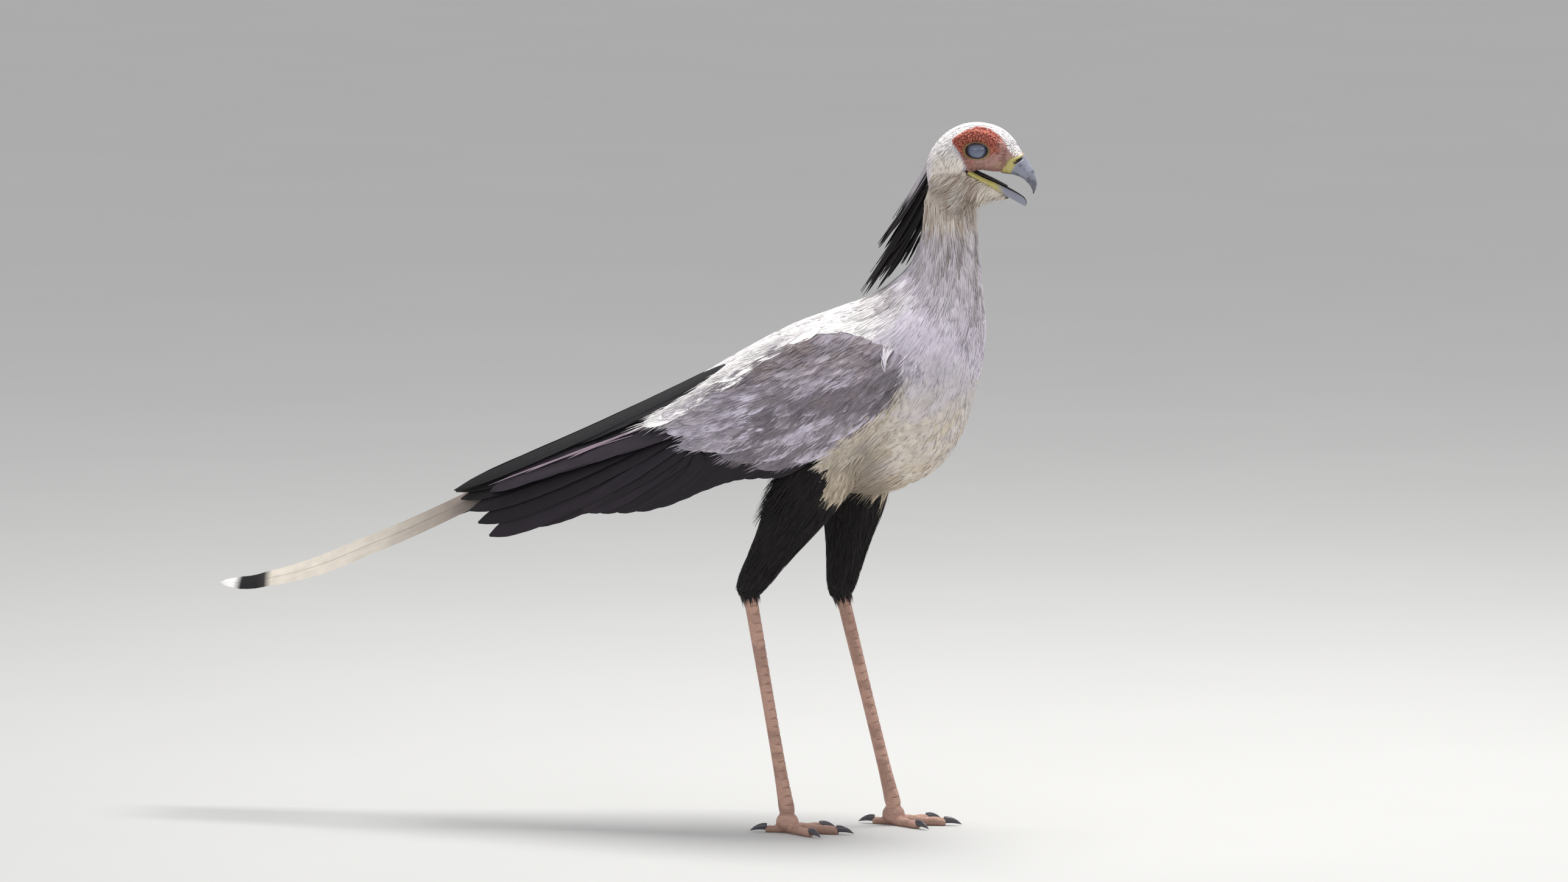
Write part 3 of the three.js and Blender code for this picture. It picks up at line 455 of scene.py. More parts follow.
def station_of(points):
    back, belly = STATION_ROWS[:, :2], STATION_ROWS[:, 2:4]
    up = back - belly
    length = np.linalg.norm(up, axis=1)
    up = up / length[:, None]
    side_view = points[:, [0, 2]]
    found = np.empty(len(points), int)
    for start in range(0, len(points), CHUNK):
        gap = side_view[start:start + CHUNK, None] - belly[None]
        along = np.sum(gap * up, -1) / length
        off = np.abs(gap[..., 0] * up[:, 1] - gap[..., 1] * up[:, 0])
        off = off + 60 * np.maximum(0, np.abs(along - 0.5) - 0.6)
        found[start:start + CHUNK] = np.argmin(off, 1)
    along = np.sum((side_view - belly[found]) * up[found], -1) / length[found]
    angle = np.arctan2(points[:, 1] / STATION_ROWS[found, 4], 2 * along - 1)
    return STATION_STEPS[found], angle


HEAD_CENTRE = np.array([165, 850])


def on_head(points):
    """1 on the head, 0 on the neck and body."""
    x, _, z = points.T
    return step(806, 818, z + 0.1 * (x - 130))


def coat_flow(points):
    """The way that the feathers lie."""
    t, angle = station_of(points)
    down_body = section(TRUNK, t - 0.15, angle) - section(TRUNK, t, angle)
    radius = points[:, [0, 2]] - HEAD_CENTRE
    over = np.stack([-radius[:, 1], np.zeros(len(points)), radius[:, 0]], -1)
    down = np.array([-0.55, 0, -0.83])
    crown = step(866, 884, points[:, 2])[:, None]
    on_skull = unit(over) * crown + down * (1 - crown)
    h = on_head(points)[:, None]
    return unit(unit(down_body) * (1 - h) + on_skull * h)


# Bare face: how far inside its outline a point of the side view lies
FACE_OUTLINE = np.array([
    (141, 879), (150, 887), (161.8, 893.7), (171.2, 897.0), (187, 893.4), (199, 885.7), (207.4, 874),
    (213, 866), (219, 862), (229, 860), (222, 834), (190, 832), (169.7, 834), (157, 838), (158, 849),
    (153, 860), (148, 870),
])


def inside_by(outline, x, z):
    """Distance inside a closed outline, in millimetres, negative outside it."""
    best = np.full(np.shape(x), 1e9)
    inside = np.zeros(np.shape(x), bool)
    for (ax, az), (bx, bz) in zip(outline, np.roll(outline, -1, 0)):
        run = np.array([bx - ax, bz - az])
        t = np.clip(((x - ax) * run[0] + (z - az) * run[1]) / (run @ run), 0, 1)
        best = np.minimum(best, np.hypot(x - ax - t * run[0], z - az - t * run[1]))
        crosses = (az > z) != (bz > z)
        with np.errstate(divide="ignore", invalid="ignore"):
            inside ^= crosses & (x < ax + (z - az) * run[0] / (run[1] if run[1] else 1e-9))
    return np.where(inside, best, -best)


def face_depth(points):
    """How far inside the bare face a point lies."""
    x, y, z = points.T
    forehead = (np.abs(y) < np.interp(x, [150, 190, 222], [12, 8, 2.5])) & (z > 850)
    return inside_by(FACE_OUTLINE, x, z) - 60 * forehead


# Wing sheet


def sheet_row(x):
    """The sheet's measures at x: its top, bottom and three distances from the middle plane."""
    station = np.interp(-np.asarray(x, float), -WING_SHEET[:, 0], np.arange(len(WING_SHEET)))
    return smooth(WING_SHEET[:, 1:], station)


def sheet_y(x, z):
    top, bottom, y_top, y_middle, y_bottom = np.moveaxis(sheet_row(x), -1, 0)
    u = np.clip((2 * z - top - bottom) / (top - bottom), -1.25, 1.2)
    return y_middle + (y_top - y_bottom) / 2 * u + ((y_top + y_bottom) / 2 - y_middle) * u * u


def on_sheet(x, z, lift, side):
    """Points on the wing sheet and its outward normal."""
    h = 1.5
    y = sheet_y(x, z)
    slope_x = (sheet_y(x + h, z) - sheet_y(x - h, z)) / (2 * h)
    slope_z = (sheet_y(x, z + h) - sheet_y(x, z - h)) / (2 * h)
    normal = unit(np.stack([-slope_x, np.ones_like(y), -slope_z], -1))
    point = np.stack([x, y, z], -1) + normal * np.asarray(lift)[..., None]
    flip = np.array([1, side, 1])
    return point * flip, normal * flip


# Regions of the body
def under_wing(p):
    """True where the folded wing hides the body."""
    x, y, z = p.T
    row = sheet_row(x)
    inside = (z > row[:, 1] + 34) & (z < row[:, 0] - 24) & (x > -225) & (x < 62)
    return inside & (np.abs(y) > 18)


def black_part(p):
    """True on the thighs and the black rear of the belly."""
    x, _, z = p.T
    thigh = (z < 446) & (x < 52)
    flank = (z < 520) & (x < -6 + 0.15 * (z - 440)) & (x > -150)
    return thigh | flank


# Materials
class Shader:
    """A procedural material on one Principled shader."""

    def __init__(self, name, roughness=0.6, **constants):
        self.material = bpy.data.materials.new(name)
        self.material.use_nodes = True
        self.tree = self.material.node_tree
        self.shader = self.tree.nodes["Principled BSDF"]
        self.shader.inputs["Roughness"].default_value = roughness
        for key, value in constants.items():
            self.shader.inputs[key.replace("_", " ")].default_value = value

    def node(self, kind, settings=None, **inputs):
        made = self.tree.nodes.new("ShaderNode" + kind)
        for key, value in (settings or {}).items():
            setattr(made, key, value)
        for key, value in inputs.items():
            socket = made.inputs[int(key[1:])] if key[1:].isdigit() else made.inputs[key.replace("_", " ")]
            if isinstance(value, bpy.types.NodeSocket):
                self.tree.links.new(value, socket)
            else:
                socket.default_value = value
        return made

    def place(self):
        return self.node("TexCoord").outputs["Object"]

    def tint(self):
        return self.node("Attribute", {"attribute_name": "Tint"}).outputs[0]

    def math(self, operation, a, b=0.0):
        return self.node("Math", {"operation": operation}, _0=a, _1=b).outputs[0]

    def blend(self, a, b, amount):
        made = self.node("Mix", {"data_type": "RGBA", "clamp_factor": True})
        for index, value in ((0, amount), (6, a), (7, b)):
            if isinstance(value, bpy.types.NodeSocket):
                self.tree.links.new(value, made.inputs[index])
            else:
                made.inputs[index].default_value = value
        return made.outputs[2]

    def noise(self, vector, scale, detail=3.0, roughness=0.55):
        made = self.node("TexNoise", Vector=vector, Scale=scale, Detail=detail, Roughness=roughness)
        return made.outputs[0]

    def spread(self, value, low, high, to_low=0.0, to_high=1.0):
        made = self.node("MapRange", Value=value)
        for key, number in zip(("From Min", "From Max", "To Min", "To Max"), (low, high, to_low, to_high)):
            made.inputs[key].default_value = number
        return made.outputs[0]

    def set(self, key, socket):
        self.tree.links.new(socket, self.shader.inputs[key])

    def bump(self, height, distance, strength=1.0):
        made = self.node("Bump", Height=height, Distance=distance, Strength=strength)
        self.set("Normal", made.outputs[0])


VANE_GLOW = 1.12


def scaled(shader, vector, factors):
    return shader.node("Mapping", Vector=vector, Scale=factors).outputs[0]


def feather_material(name, streak, roughness, barbs, length, shaft=0.0, sheen=0.15):
    """Feather vane: the tuft's own tint, streaked along its barbs, with a shaft line."""
    made = Shader(name, roughness, Sheen_Weight=sheen, Specular_IOR_Level=0.2)
    vane = made.node("UVMap", {"uv_map": "Vane"}).outputs[0]
    tint = made.tint()
    lines = made.noise(scaled(made, vane, (barbs, length, 1)), 1.0, 3.0)
    cloud = made.noise(made.place(), 60.0, 2.0)
    shade = made.math("MULTIPLY", made.spread(lines, 0.35, 0.75, VANE_GLOW, VANE_GLOW - streak),
                      made.spread(cloud, 0.3, 0.7, 0.93, 1.07))
    result = made.node("VectorMath", {"operation": "SCALE"}, _0=tint, Scale=shade).outputs[0]
    u = made.math("MULTIPLY", made.math("FRACT", made.math("MULTIPLY", split(made, vane, 0), 0.5)), 2.0)
    middle = made.math("ABSOLUTE", made.math("SUBTRACT", u, 0.5))
    if shaft:
        result = made.blend(result, (0.02, 0.018, 0.018, 1), made.spread(middle, 0.012, 0.035, shaft, 0.0))
    made.set("Base Color", result)
    made.bump(lines, 0.0005, 0.5)
    return made.material


def split(shader, vector, index):
    return shader.node("SeparateXYZ", Vector=vector).outputs[index]


def skin_material(name, roughness, grain, depth, **constants):
    """Bare skin or down-covered skin: its own tint with fine creases."""
    made = Shader(name, roughness, **constants)
    place = made.place()
    tint = made.tint()
    fine = made.noise(place, grain, 5.0, 0.65)
    cells = made.node("TexVoronoi", {"feature": "DISTANCE_TO_EDGE"}, Vector=place, Scale=grain * 1.3)
    dark = made.blend(tint, (0.04, 0.02, 0.02, 1), made.spread(fine, 0.5, 0.8, 0.0, 0.28))
    made.set("Base Color", dark)
    made.bump(made.math("ADD", fine, made.spread(cells.outputs[0], 0.0, 0.2)), depth, 0.7)
    return made.material


def assign(obj, material, replaces=()):
    obj.data.materials.clear()
    obj.data.materials.append(material)
    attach(obj, "root")
    if replaces:
        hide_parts(*replaces)


# Skin of trunk, neck, head and thighs
BODY_INSET = 6.0
NECK_INSET = 4.5
HEAD_INSET = 2.2
SKIN_VOXEL = 2.7
CHIN_RAISE = np.array([3, 6, 9, 11, 12, 11, 8, 4.0])  # room under the chin for its hanging hairs


def inset_of(t):
    return mix(BODY_INSET, NECK_INSET, step(8, 12, t))


def trunk_skin():
    t, angle = grid(0.35, LAST_STATION, 120, 72)
    return loft(section(TRUNK, t, angle, -inset_of(t)))


def mirrored(point, side):
    """A place given for the bird's left, moved to the side that is asked for."""
    return np.array(point, float) * (1, side, 1)


def thigh_skin(leg, inset):
    top, low = (mirrored(leg[k], leg["side"]) for k in ("hip", "heel"))
    stations = np.array([[-0.12, 40, 26], [0.1, 45, 32], [0.3, 43, 31], [0.5, 36, 26], [0.68, 27.5, 20.5],
                         [0.84, 20, 15], [0.95, 16, 13], [1.04, 11, 10]])
    rows = smooth(stations, np.linspace(0, len(stations) - 1, 40))
    coat_depth = inset * mix(1, 0.3, step(0.6, 0.95, rows[:, 0]))
    return limb(top + (low - top) * rows[:, :1], rows[:, 1] - coat_depth, rows[:, 2] - coat_depth, 40)


def brow(side):
    points = mirrored([[143, 25, 873], [152, 28, 881.5], [166, 28.2, 886.5], [181, 26.2, 884.5],
                       [194, 22.6, 878], [205, 18, 869]], side)
    girth = np.array([2.5, 4, 5, 5, 4, 2.2])
    along = np.linspace(0, len(girth) - 1, 30)
    thick = smooth(girth[:, None], along)[:, 0]
    return limb(smooth(points, along), thick, thick * 1.1, 16)


def make_skin():
    chin = CHIN.copy()
    chin[:, 3] += CHIN_RAISE
    parts = [trunk_skin()]
    parts.append(body_loft(SKULL, 0.1, 11.2, 90, 64, -HEAD_INSET))
    parts.append(body_loft(chin, 0.1, 6.6, 60, 48, -2))
    parts += [thigh_skin(leg, 6) for leg in LEGS.values()]
    parts += [brow(side) for side in (-1, 1)]
    skin = fused("skin", parts, SKIN_VOXEL)
    refine_face(skin)
    shape_face(skin.data)
    return skin


def refine_face(obj):
    """The bare face gets a finer mesh than the feathered skin."""
    made = bmesh.new()
    made.from_mesh(obj.data)
    for radius in (45, 21):
        near = []
        for e in made.edges:
            m = (e.verts[0].co + e.verts[1].co) / 2 / MM
            x, z = m.x - SHIFT[0], m.z
            if abs(m.y) > 6 and math.hypot(x - EYE_CENTRE[0], z - EYE_CENTRE[2]) < radius:
                near.append(e)
        bmesh.ops.subdivide_edges(made, edges=near, cuts=1, use_grid_fill=True, smooth=0.6)
    bmesh.ops.triangulate(made, faces=[f for f in made.faces if len(f.verts) > 4])
    made.to_mesh(obj.data)
    made.free()
    shade_smooth(obj.data)


# The lids' height over the eye's centre at distances from it
LID_PROFILE = [(0, 4.0), (10.4, 4.2), (11.2, 6.2), (11.9, 8.3), (12.9, 8.9), (14.2, 7.9), (15.6, 7.3),
               (17.5, 8.0)]
EYE_OVAL = (1.16, 0.80)  # the lids' opening is longer than it is high
EYE_DROP = 0.6


def eye_distance(points):
    x = (points[:, 0] - EYE_CENTRE[0]) / EYE_OVAL[0]
    z = (points[:, 2] - EYE_CENTRE[2] + EYE_DROP) / EYE_OVAL[1]
    return np.hypot(x, z)


def bill_cut_distance(points):
    along = BILL_CUT_HIGH - BILL_CUT_LOW
    normal = np.array([along[1], -along[0]]) / np.hypot(*along)
    return (points[..., 0] - BILL_CUT_LOW[0]) * normal[0] + (points[..., 2] - BILL_CUT_LOW[1]) * normal[1]


def shape_face(mesh):
    points = coordinates(mesh)
    side = np.sign(points[:, 1])
    depth = face_depth(points)
    r = eye_distance(points)
    bare = step(-1, 3, depth) * (np.abs(points[:, 1]) > 4)
    grown = points.copy()
    centre = np.array([175, 0, 862])
    grown += unit(points - centre) * (bare * 1.6)[:, None]
    under_bill = step(-3.5, -1, bill_cut_distance(points)) * step(866, 860, points[:, 2])
    grown[:, 1] *= 1 - 0.3 * under_bill * (points[:, 0] > 198) * (points[:, 2] > 830)
    profile = np.interp(r, *np.array(LID_PROFILE).T)
    off = (points[:, 0] - EYE_CENTRE[0]) ** 2 + (points[:, 2] - EYE_CENTRE[2]) ** 2
    ball = np.sqrt(np.maximum(EYE_RADIUS ** 2 - off, 0))
    profile = np.where(r > 11.4, np.maximum(profile, (ball + 1.1) * (r < 14.5)), profile)
    target = EYE_CENTRE[1] + profile
    amount = (1 - step(17, 21.5, r)) * (np.abs(points[:, 1]) > 10)
    height = grown[:, 1] * side
    grown[:, 1] = side * mix(height, target, amount)
    move_points(mesh, grown)


def skin_tint(points):
    x, y, z = points.T
    r = eye_distance(points)
    mottle = np.random.default_rng(5).normal(0, 1, len(points))
    # the red skin under the papillae is darkened: painted shade of the crevices between them
    face = blend(RED * 0.72, MAUVE, step(865, 855, z) * 0.95)
    face = blend(face, MAUVE, step(180, 200, x) * step(880, 866, z))
    face = blend(face, RED * 0.8, np.exp(-((x - 162) ** 2 / 30 + (z - 856) ** 2 / 90)) * 0.8)
    cere = bill_cut_distance(points)
    face = blend(face, OLIVE, step(-22, -8, cere) * step(862, 853, z) * 0.6)
    face = blend(face, YELLOW, step(-9, -4, cere) * step(862, 856, z) * step(838, 843, z))
    face = blend(face, ORANGE, step(0.3, 1.5, mottle) * 0.3)
    face = blend(face, OLIVE * 0.8, step(15.8, 14.8, r) * step(12.6, 13.2, r) * 0.85)
    face = blend(face, LID_DARK, step(13.4, 12.4, r))
    face = blend(face, MAUVE, step(13.6, 13.0, r) * step(872.5, 875, z) * 0.7)
    tint = blend(blend(LILAC * 0.75, BLACK, black_part(points)), face, step(-1.5, 1.5, face_depth(points)))
    palate = np.interp(x, [150, 170, 200, 222], [847, 843.5, 840, 837])
    floor = np.interp(x, [150, 161, 178, 195, 210], [842, 837, 828, 819, 811])
    inner = (z < palate) & (z > floor) & (np.abs(y) < np.interp(x, [150, 215], [21, 9])) & (x > 153)
    # the skin inside the mouth is painted near black: painted shadow
    return blend(tint, MOUTH_SHADOW, inner)


# Camera
def make_camera():
    turn, tilt = math.radians(12), math.radians(6.5)
    ahead = np.array([-math.sin(turn) * math.cos(tilt), math.cos(turn) * math.cos(tilt), -math.sin(tilt)])
    right = np.array([math.cos(turn), math.sin(turn), 0])
    up = np.cross(right, ahead)
    distance, pixels_per_mm, width, sensor = 14000, 1.30, 2576, 36
    aim = np.array([-80, 0, 497]) - 0.23 * right - 4.46 * up
    data = bpy.data.cameras.new("camera")
    data.sensor_fit = "HORIZONTAL"
    data.sensor_width = sensor
    data.lens = sensor * distance / (width / pixels_per_mm)
    data.clip_end = 100
    camera = linked("camera", data)
    turned = Matrix((right, up, -ahead)).transposed().to_4x4()
    turned.translation = Vector(placed(aim - ahead * distance))
    camera.matrix_world = turned
    bpy.context.scene.camera = camera


make_camera()
skin = make_skin()
paint(skin.data, skin_tint(coordinates(skin.data)))
skin_tree = tree_of(skin)
assign(skin, skin_material("bare_skin", 0.55, 260.0, 0.0007),
       ["torso", "neck", "head", "thigh_right", "thigh_left"])


# Coat
def unwrap(points):
    """Places on an unwrap of the body: round it by angle and along it by station."""
    t, angle = station_of(points)
    x, y, z = points.T
    body = np.stack([0.02 + 0.62 * (angle + math.pi) / (2 * math.pi), 0.02 + 0.6 * t / LAST_STATION], -1)
    head = np.stack([0.66 + (x - 100) / 130 * 0.14 + 0.1488 * (y > 0), 0.7 + (z - 780) / 130 * 0.25], -1)
    return np.where(on_head(points)[:, None] > 0.5, head, body)


def body_places(points, across, along):
    """Places on the body's unwrap, counted in patches of `across` by `along` millimetres."""
    t, angle = station_of(points)
    return angle * smooth(TRUNK, t)[:, 4] / across, t * STATION_LENGTH / along


def streaks(points, across, along, seed):
    """Smooth random values from 0 to 1, in patches `across` by `along` millimetres."""
    return value_noise(*body_places(points, across, along), seed)


TUFT_SHAPE = (0.5, 0.95, 1.0, 0.75, 0.12)
HAIR_SHAPE = (0.7, 1.0, 0.9, 0.65, 0.12)
SWAY = 0.3  # how far whole patches of the coat turn from the flow
CURL = 0.02


def lock_numbers(points, across, along):
    """One number for each lock of the coat, about `across` by `along` millimetres."""
    u, v = body_places(points, across, along)
    column = np.floor(u).astype(int)
    rank = np.floor(v + 0.5 * (column % 2) + 0.23 * (column % 3)).astype(int)
    rank = np.where(on_head(points) > 0.5, rank + 7 * np.floor(points[:, 0] / along).astype(int), rank)
    return np.unique(column * 5000 + rank, return_inverse=True)[1]


def gather(centre, lock, pull):
    """Draws the strands of each lock together towards its tip."""
    total = np.zeros((lock.max() + 1,) + centre.shape[1:])
    np.add.at(total, lock, centre)
    middle = (total / np.bincount(lock)[:, None, None])[lock]
    share = np.linspace(0, 1, centre.shape[1])[None, :, None]
    return centre + (middle - centre) * pull * share ** 1.3


def coat(name, keep, tint, seed, spacing, length, width, lift, material, shape=HAIR_SHAPE, rows=3,
         slot="body_feathers", flow=coat_flow, jitter=0.07, depth=0.5, spare=0.6, lock=None, grade=None):
    """Overlapping feathers seeded over the skin; `lock` is the locks' size and how far they draw in."""
    rng = np.random.default_rng(seed)
    roots = seeds(skin, keep, spacing, rng)
    count = len(roots)
    size = grade(roots) if grade else np.ones(count)
    long = length * rng.uniform(0.75, 1.25, count) * size
    wide = width * rng.uniform(0.75, 1.25, count) * np.sqrt(size)
    yaw = rng.normal(0, jitter, count) + SWAY * (streaks(roots, 15, 45, seed) - 0.5)
    bend = rng.normal(0, CURL, count) + 0.25 * SWAY * (streaks(roots, 12, 30, seed + 1) - 0.5)
    turns = iter(range(rows))

    def turned(points, normal):
        ahead = flow(points)
        a = (yaw + bend * next(turns))[:, None]
        return ahead * np.cos(a) + np.cross(normal, ahead) * np.sin(a)

    heights = np.interp(np.linspace(0, 1, rows), [0, 0.5, 1], lift)
    raised = heights * rng.uniform(1 - 0.5 * spare, 1 + 0.5 * spare, (count, 1)) * size[:, None]
    raised[:, 0] = heights[0]
    centre, out = lay(skin_tree, roots, turned, long, rows, raised)
    shade = tint(roots, rng)
    if lock:
        *patch, pull = lock
        numbers = lock_numbers(roots, *patch)
        centre = gather(centre, numbers, pull)
        shade = shade * rng.normal(1, 0.035, (numbers.max() + 1, 1))[numbers]
    across, out = frames(centre, out)
    profile = profile_of(shape, rows)
    half = wide[:, None] / 2 * profile
    deep = np.minimum(depth, wide[:, None] * 0.3) * profile
    made = blades(name, centre, across, out, half, deep, TUFT_RING, unwrap(roots), shade)
    assign(made, material)


def bare_mask(points):
    return face_depth(points) < -0.5


def mouth_mask(points):
    """False where the lower bill lies on the chin and inside the mouth."""
    x, _, z = points.T
    rim = np.interp(x, [150, 161, 178, 195, 210], [846, 836, 826.5, 818, 810])
    return ~((x > 152) & (z > rim) & (z < 850))


def head_keep(p):
    return (on_head(p) > 0.5) & bare_mask(p) & mouth_mask(p) & (p[:, 0] < 232) & (p[:, 2] > 812)


def head_grade(p):
    """Head feathers get shorter towards the bill and the bare face."""
    near_face = step(12, 2, -face_depth(p)) * step(850, 870, p[:, 2])
    return mix(1, 0.42, np.maximum(step(180, 214, p[:, 0]), near_face))


def chin_keep(p):
    x, _, z = p.T
    return mouth_mask(p) & bare_mask(p) & (z < 842) & (z > 785) & (x > 118)


def chin_grade(p):
    """Hairs hang free only under the bill; at the sides and lower down they run into the neck."""
    return mix(0.5, 1, step(126, 162, p[:, 0])) * mix(0.62, 1, step(792, 816, p[:, 2]))


def chin_flow(points):
    """Hairs of the chin sweep back from the bill and hang free below it."""
    back = coat_flow(points) * step(130, 112, points[:, 0])[:, None]
    return unit(back + np.array([-0.75, 0, -0.6]))


def neck_keep(p):
    t, _ = station_of(p)
    return (p[:, 2] < 822) & (t > 8.6) & bare_mask(p)


def breast_keep(p):
    t, angle = station_of(p)
    place = (t > 4.4) & (t <= 9.2) & (np.abs(angle) > 0.9) & (on_head(p) < 0.1)
    return place & ~black_part(p) & ~under_wing(p)


def belly_keep(p):
    t, angle = station_of(p)
    return (t > 2.6) & (t <= 5.4) & (np.abs(angle) > 1.1) & ~black_part(p) & ~under_wing(p)


def vent_keep(p):
    t, angle = station_of(p)
    return (t > 0.8) & (t <= 3.1) & (np.abs(angle) > 1.9) & (p[:, 2] < 530) & ~black_part(p)


def mantle_keep(p):
    t, angle = station_of(p)
    return (t > 1.3) & (t <= 9.6) & (np.abs(angle) <= 1.15) & (on_head(p) < 0.1) & ~under_wing(p)


def vary(rng, base, amount):
    return base * np.clip(rng.normal(1, amount, (len(base), 1)), 0.5, 1.4)


def head_tint(p, rng):
    x, _, z = p.T
    base = blend(WHITE, CREAM * 0.95, step(876, 852, z) * 0.8)
    base = blend(base, STREAK * 1.25, step(838, 814, z) * rng.uniform(0.1, 0.7, len(p)))
    base = blend(base, NECK_GREY, step(888, 862, z) * step(126, 112, x) * 0.7)
    ear = np.exp(-(((x - 134) / 7) ** 2 + ((z - 868) / 9) ** 2))
    return vary(rng, blend(base, STREAK * 1.2, ear * rng.uniform(0, 0.8, len(p))), 0.05)


def crease_shade(p):
    """Painted shade: dark streaks in the hollow between the neck and the back."""
    x, _, z = p.T
    return np.exp(-(((x - 84) / 36) ** 2 + ((z - 700) / 24) ** 2)) * step(0.3, 0.7, streaks(p, 4, 34, 79))


def neck_tint(p, rng):
    t, _ = station_of(p)
    throat = step(776, 804, p[:, 2])
    base = blend(NECK_GREY * 0.88, LILAC * 0.95, step(12, 9.6, t))
    base = blend(base, CREAM * 0.86, throat)
    dark = step(0.52, 0.85, streaks(p, 2.6, 40, 71))
    base = blend(base, STREAK, dark * step(8.6, 11.5, t) * mix(0.5, 0.75, step(11, 13, t)) * (1 - throat))
    base = blend(base, TAN, throat * step(0.35, 0.6, streaks(p, 2.4, 16, 72)) * 0.8)
    base = blend(base, WHITE, step(0.6, 0.9, streaks(p, 3.0, 40, 73)) * 0.45)
    # painted shade in the hollow between the neck and the back
    return vary(rng, blend(base, STREAK * 1.2, crease_shade(p) * 0.7), 0.04)


def breast_tint(p, rng):
    x, _, z = p.T
    base = blend(LILAC, CREAM, step(640, 540, z))
    base = blend(base, BUFF, step(0.4, 0.85, streaks(p, 8, 80, 74)) * step(660, 560, z) * 0.7)
    base = blend(base, LILAC * 1.02, step(0.55, 0.85, streaks(p, 6, 80, 75)) * 0.5)
    # painted light: the front of the breast is made whiter
    base = blend(base, WHITE, step(140, 178, x) * 0.4)
    # painted shade: the breast darkens towards its underside
    return vary(rng, base * mix(0.98, 0.76, step(710, 600, z))[:, None], 0.035)


def belly_tint(p, rng):
    base = blend(CREAM, BUFF, step(560, 450, p[:, 2]) * 0.8)
    base = blend(base, BUFF * 0.86, step(0.5, 0.9, streaks(p, 8, 50, 76)) * 0.7)
    base = blend(base, LILAC, step(0.6, 0.9, streaks(p, 7, 60, 77)) * 0.5)
    # darker overall: partly the belly's own greyer tone, partly painted shade of the underside
    return vary(rng, base * 0.74, 0.04)


def mantle_tint(p, rng):
    base = blend(WHITE, LILAC, step(55, 105, p[:, 0]) * 0.55)
    base = blend(base, LILAC * 0.97, step(0.6, 0.9, streaks(p, 8, 40, 78)) * 0.4)
    # painted shade in the hollow between the neck and the back
    return vary(rng, blend(base, STREAK * 1.2, crease_shade(p) * 0.7), 0.03)


def black_tint(p, rng):
    return vary(rng, blend(BLACK, BLACK_BROWN, rng.random(len(p))), 0.15)


def flank_keep(p):
    x, _, z = p.T
    return black_part(p) & (z > 440) & (z < 506) & (x < -44)


def flank_flow(points):
    return np.broadcast_to(unit(np.array([-0.62, 0, -0.78])), points.shape)


def thigh_flow(points):
    left, right = unit(np.array([[-27, 0, -178.0], [-102, 0, -168.0]]))
    return np.where(points[:, 1:2] < 0, right, left)


def vent_grade(p):
    t, _ = station_of(p)
    return mix(0.3, 1, step(0.9, 2.3, t))


def belly_grade(p):
    return mix(0.68, 1, step(0, 60, p[:, 0]))


def hanging(points):
    """Fluffy feathers of the belly lie along the body and hang a little."""
    drop = mix(0.4, 1.6, step(70, 5, points[:, 0]))[:, None]
    return unit(coat_flow(points) - UP * drop)


def vent_flow(points):
    return unit(coat_flow(points) * 0.7 + np.array([-0.4, 0, -0.5]))


PALE_FEATHER = feather_material("pale_feather", 0.22, 0.85, 14.0, 1.2)
HAIR_FEATHER = feather_material("hair_feather", 0.18, 0.85, 6.0, 1.2)
DARK_FEATHER = feather_material("dark_feather", 0.5, 0.6, 12.0, 1.6, sheen=0.05)
UNDER = {"material": PALE_FEATHER, "shape": TUFT_SHAPE, "rows": 4}
HAIR = {"material": HAIR_FEATHER}
DARK = {"material": DARK_FEATHER, "slot": "thigh_feathers"}

coat("coat_head", head_keep, head_tint, 11, 1.75, 13, 1.6, (0.1, 1.2, 1.3), depth=0.3, jitter=0.08,
     grade=head_grade, **HAIR)
coat("coat_chin", chin_keep, neck_tint, 18, 1.65, 30, 1.1, (0.1, 3.6, 11), rows=4, flow=chin_flow,
     jitter=0.16, lock=(5, 12, 0.25), spare=1.3, grade=chin_grade, **HAIR)
coat("coat_neck_under", neck_keep, neck_tint, 12, 4.0, 28, 4.6, (0.2, 2.4, 2.8), **UNDER)
coat("coat_neck", neck_keep, neck_tint, 22, 2.0, 44, 1.25, (0.3, 3.8, 4.0), depth=0.35,
     lock=(7, 30, 0.5), **HAIR)
coat("coat_breast_under", breast_keep, breast_tint, 13, 5.2, 38, 9, (0.2, 3.4, 4.0), **UNDER)
coat("coat_breast", breast_keep, breast_tint, 23, 2.4, 60, 1.5, (0.3, 4.6, 4.6), jitter=0.05, spare=0.25,
     lock=(12, 40, 0.32), **HAIR)
coat("coat_belly_under", belly_keep, belly_tint, 14, 5.2, 38, 9, (0.2, 4.0, 5.2), flow=hanging, **UNDER)
coat("coat_belly", belly_keep, belly_tint, 24, 2.35, 50, 1.4, (0.3, 5.4, 10), flow=hanging, jitter=0.12,
     spare=0.9, lock=(8, 22, 0.3), grade=belly_grade, **HAIR)
coat("coat_vent", vent_keep, belly_tint, 17, 4.2, 60, 2.6, (0.2, 14, 42), flow=vent_flow, jitter=0.12,
     lock=(16, 30, 0.4), grade=vent_grade, **UNDER)
coat("coat_mantle_under", mantle_keep, mantle_tint, 15, 6.0, 42, 14, (0.2, 3.2, 3.8), **UNDER)
coat("coat_mantle", mantle_keep, mantle_tint, 25, 2.7, 50, 1.6, (0.3, 4.2, 4.4), lock=(14, 34, 0.45), **HAIR)
coat("coat_thighs_under", black_part, black_tint, 16, 5.6, 34, 8.5, (0.2, 3.2, 4.0), shape=TUFT_SHAPE, rows=4,
     flow=thigh_flow, **DARK)
coat("coat_thighs", black_part, black_tint, 26, 3.2, 44, 1.7, (0.3, 4.2, 5.0), flow=thigh_flow, **DARK)
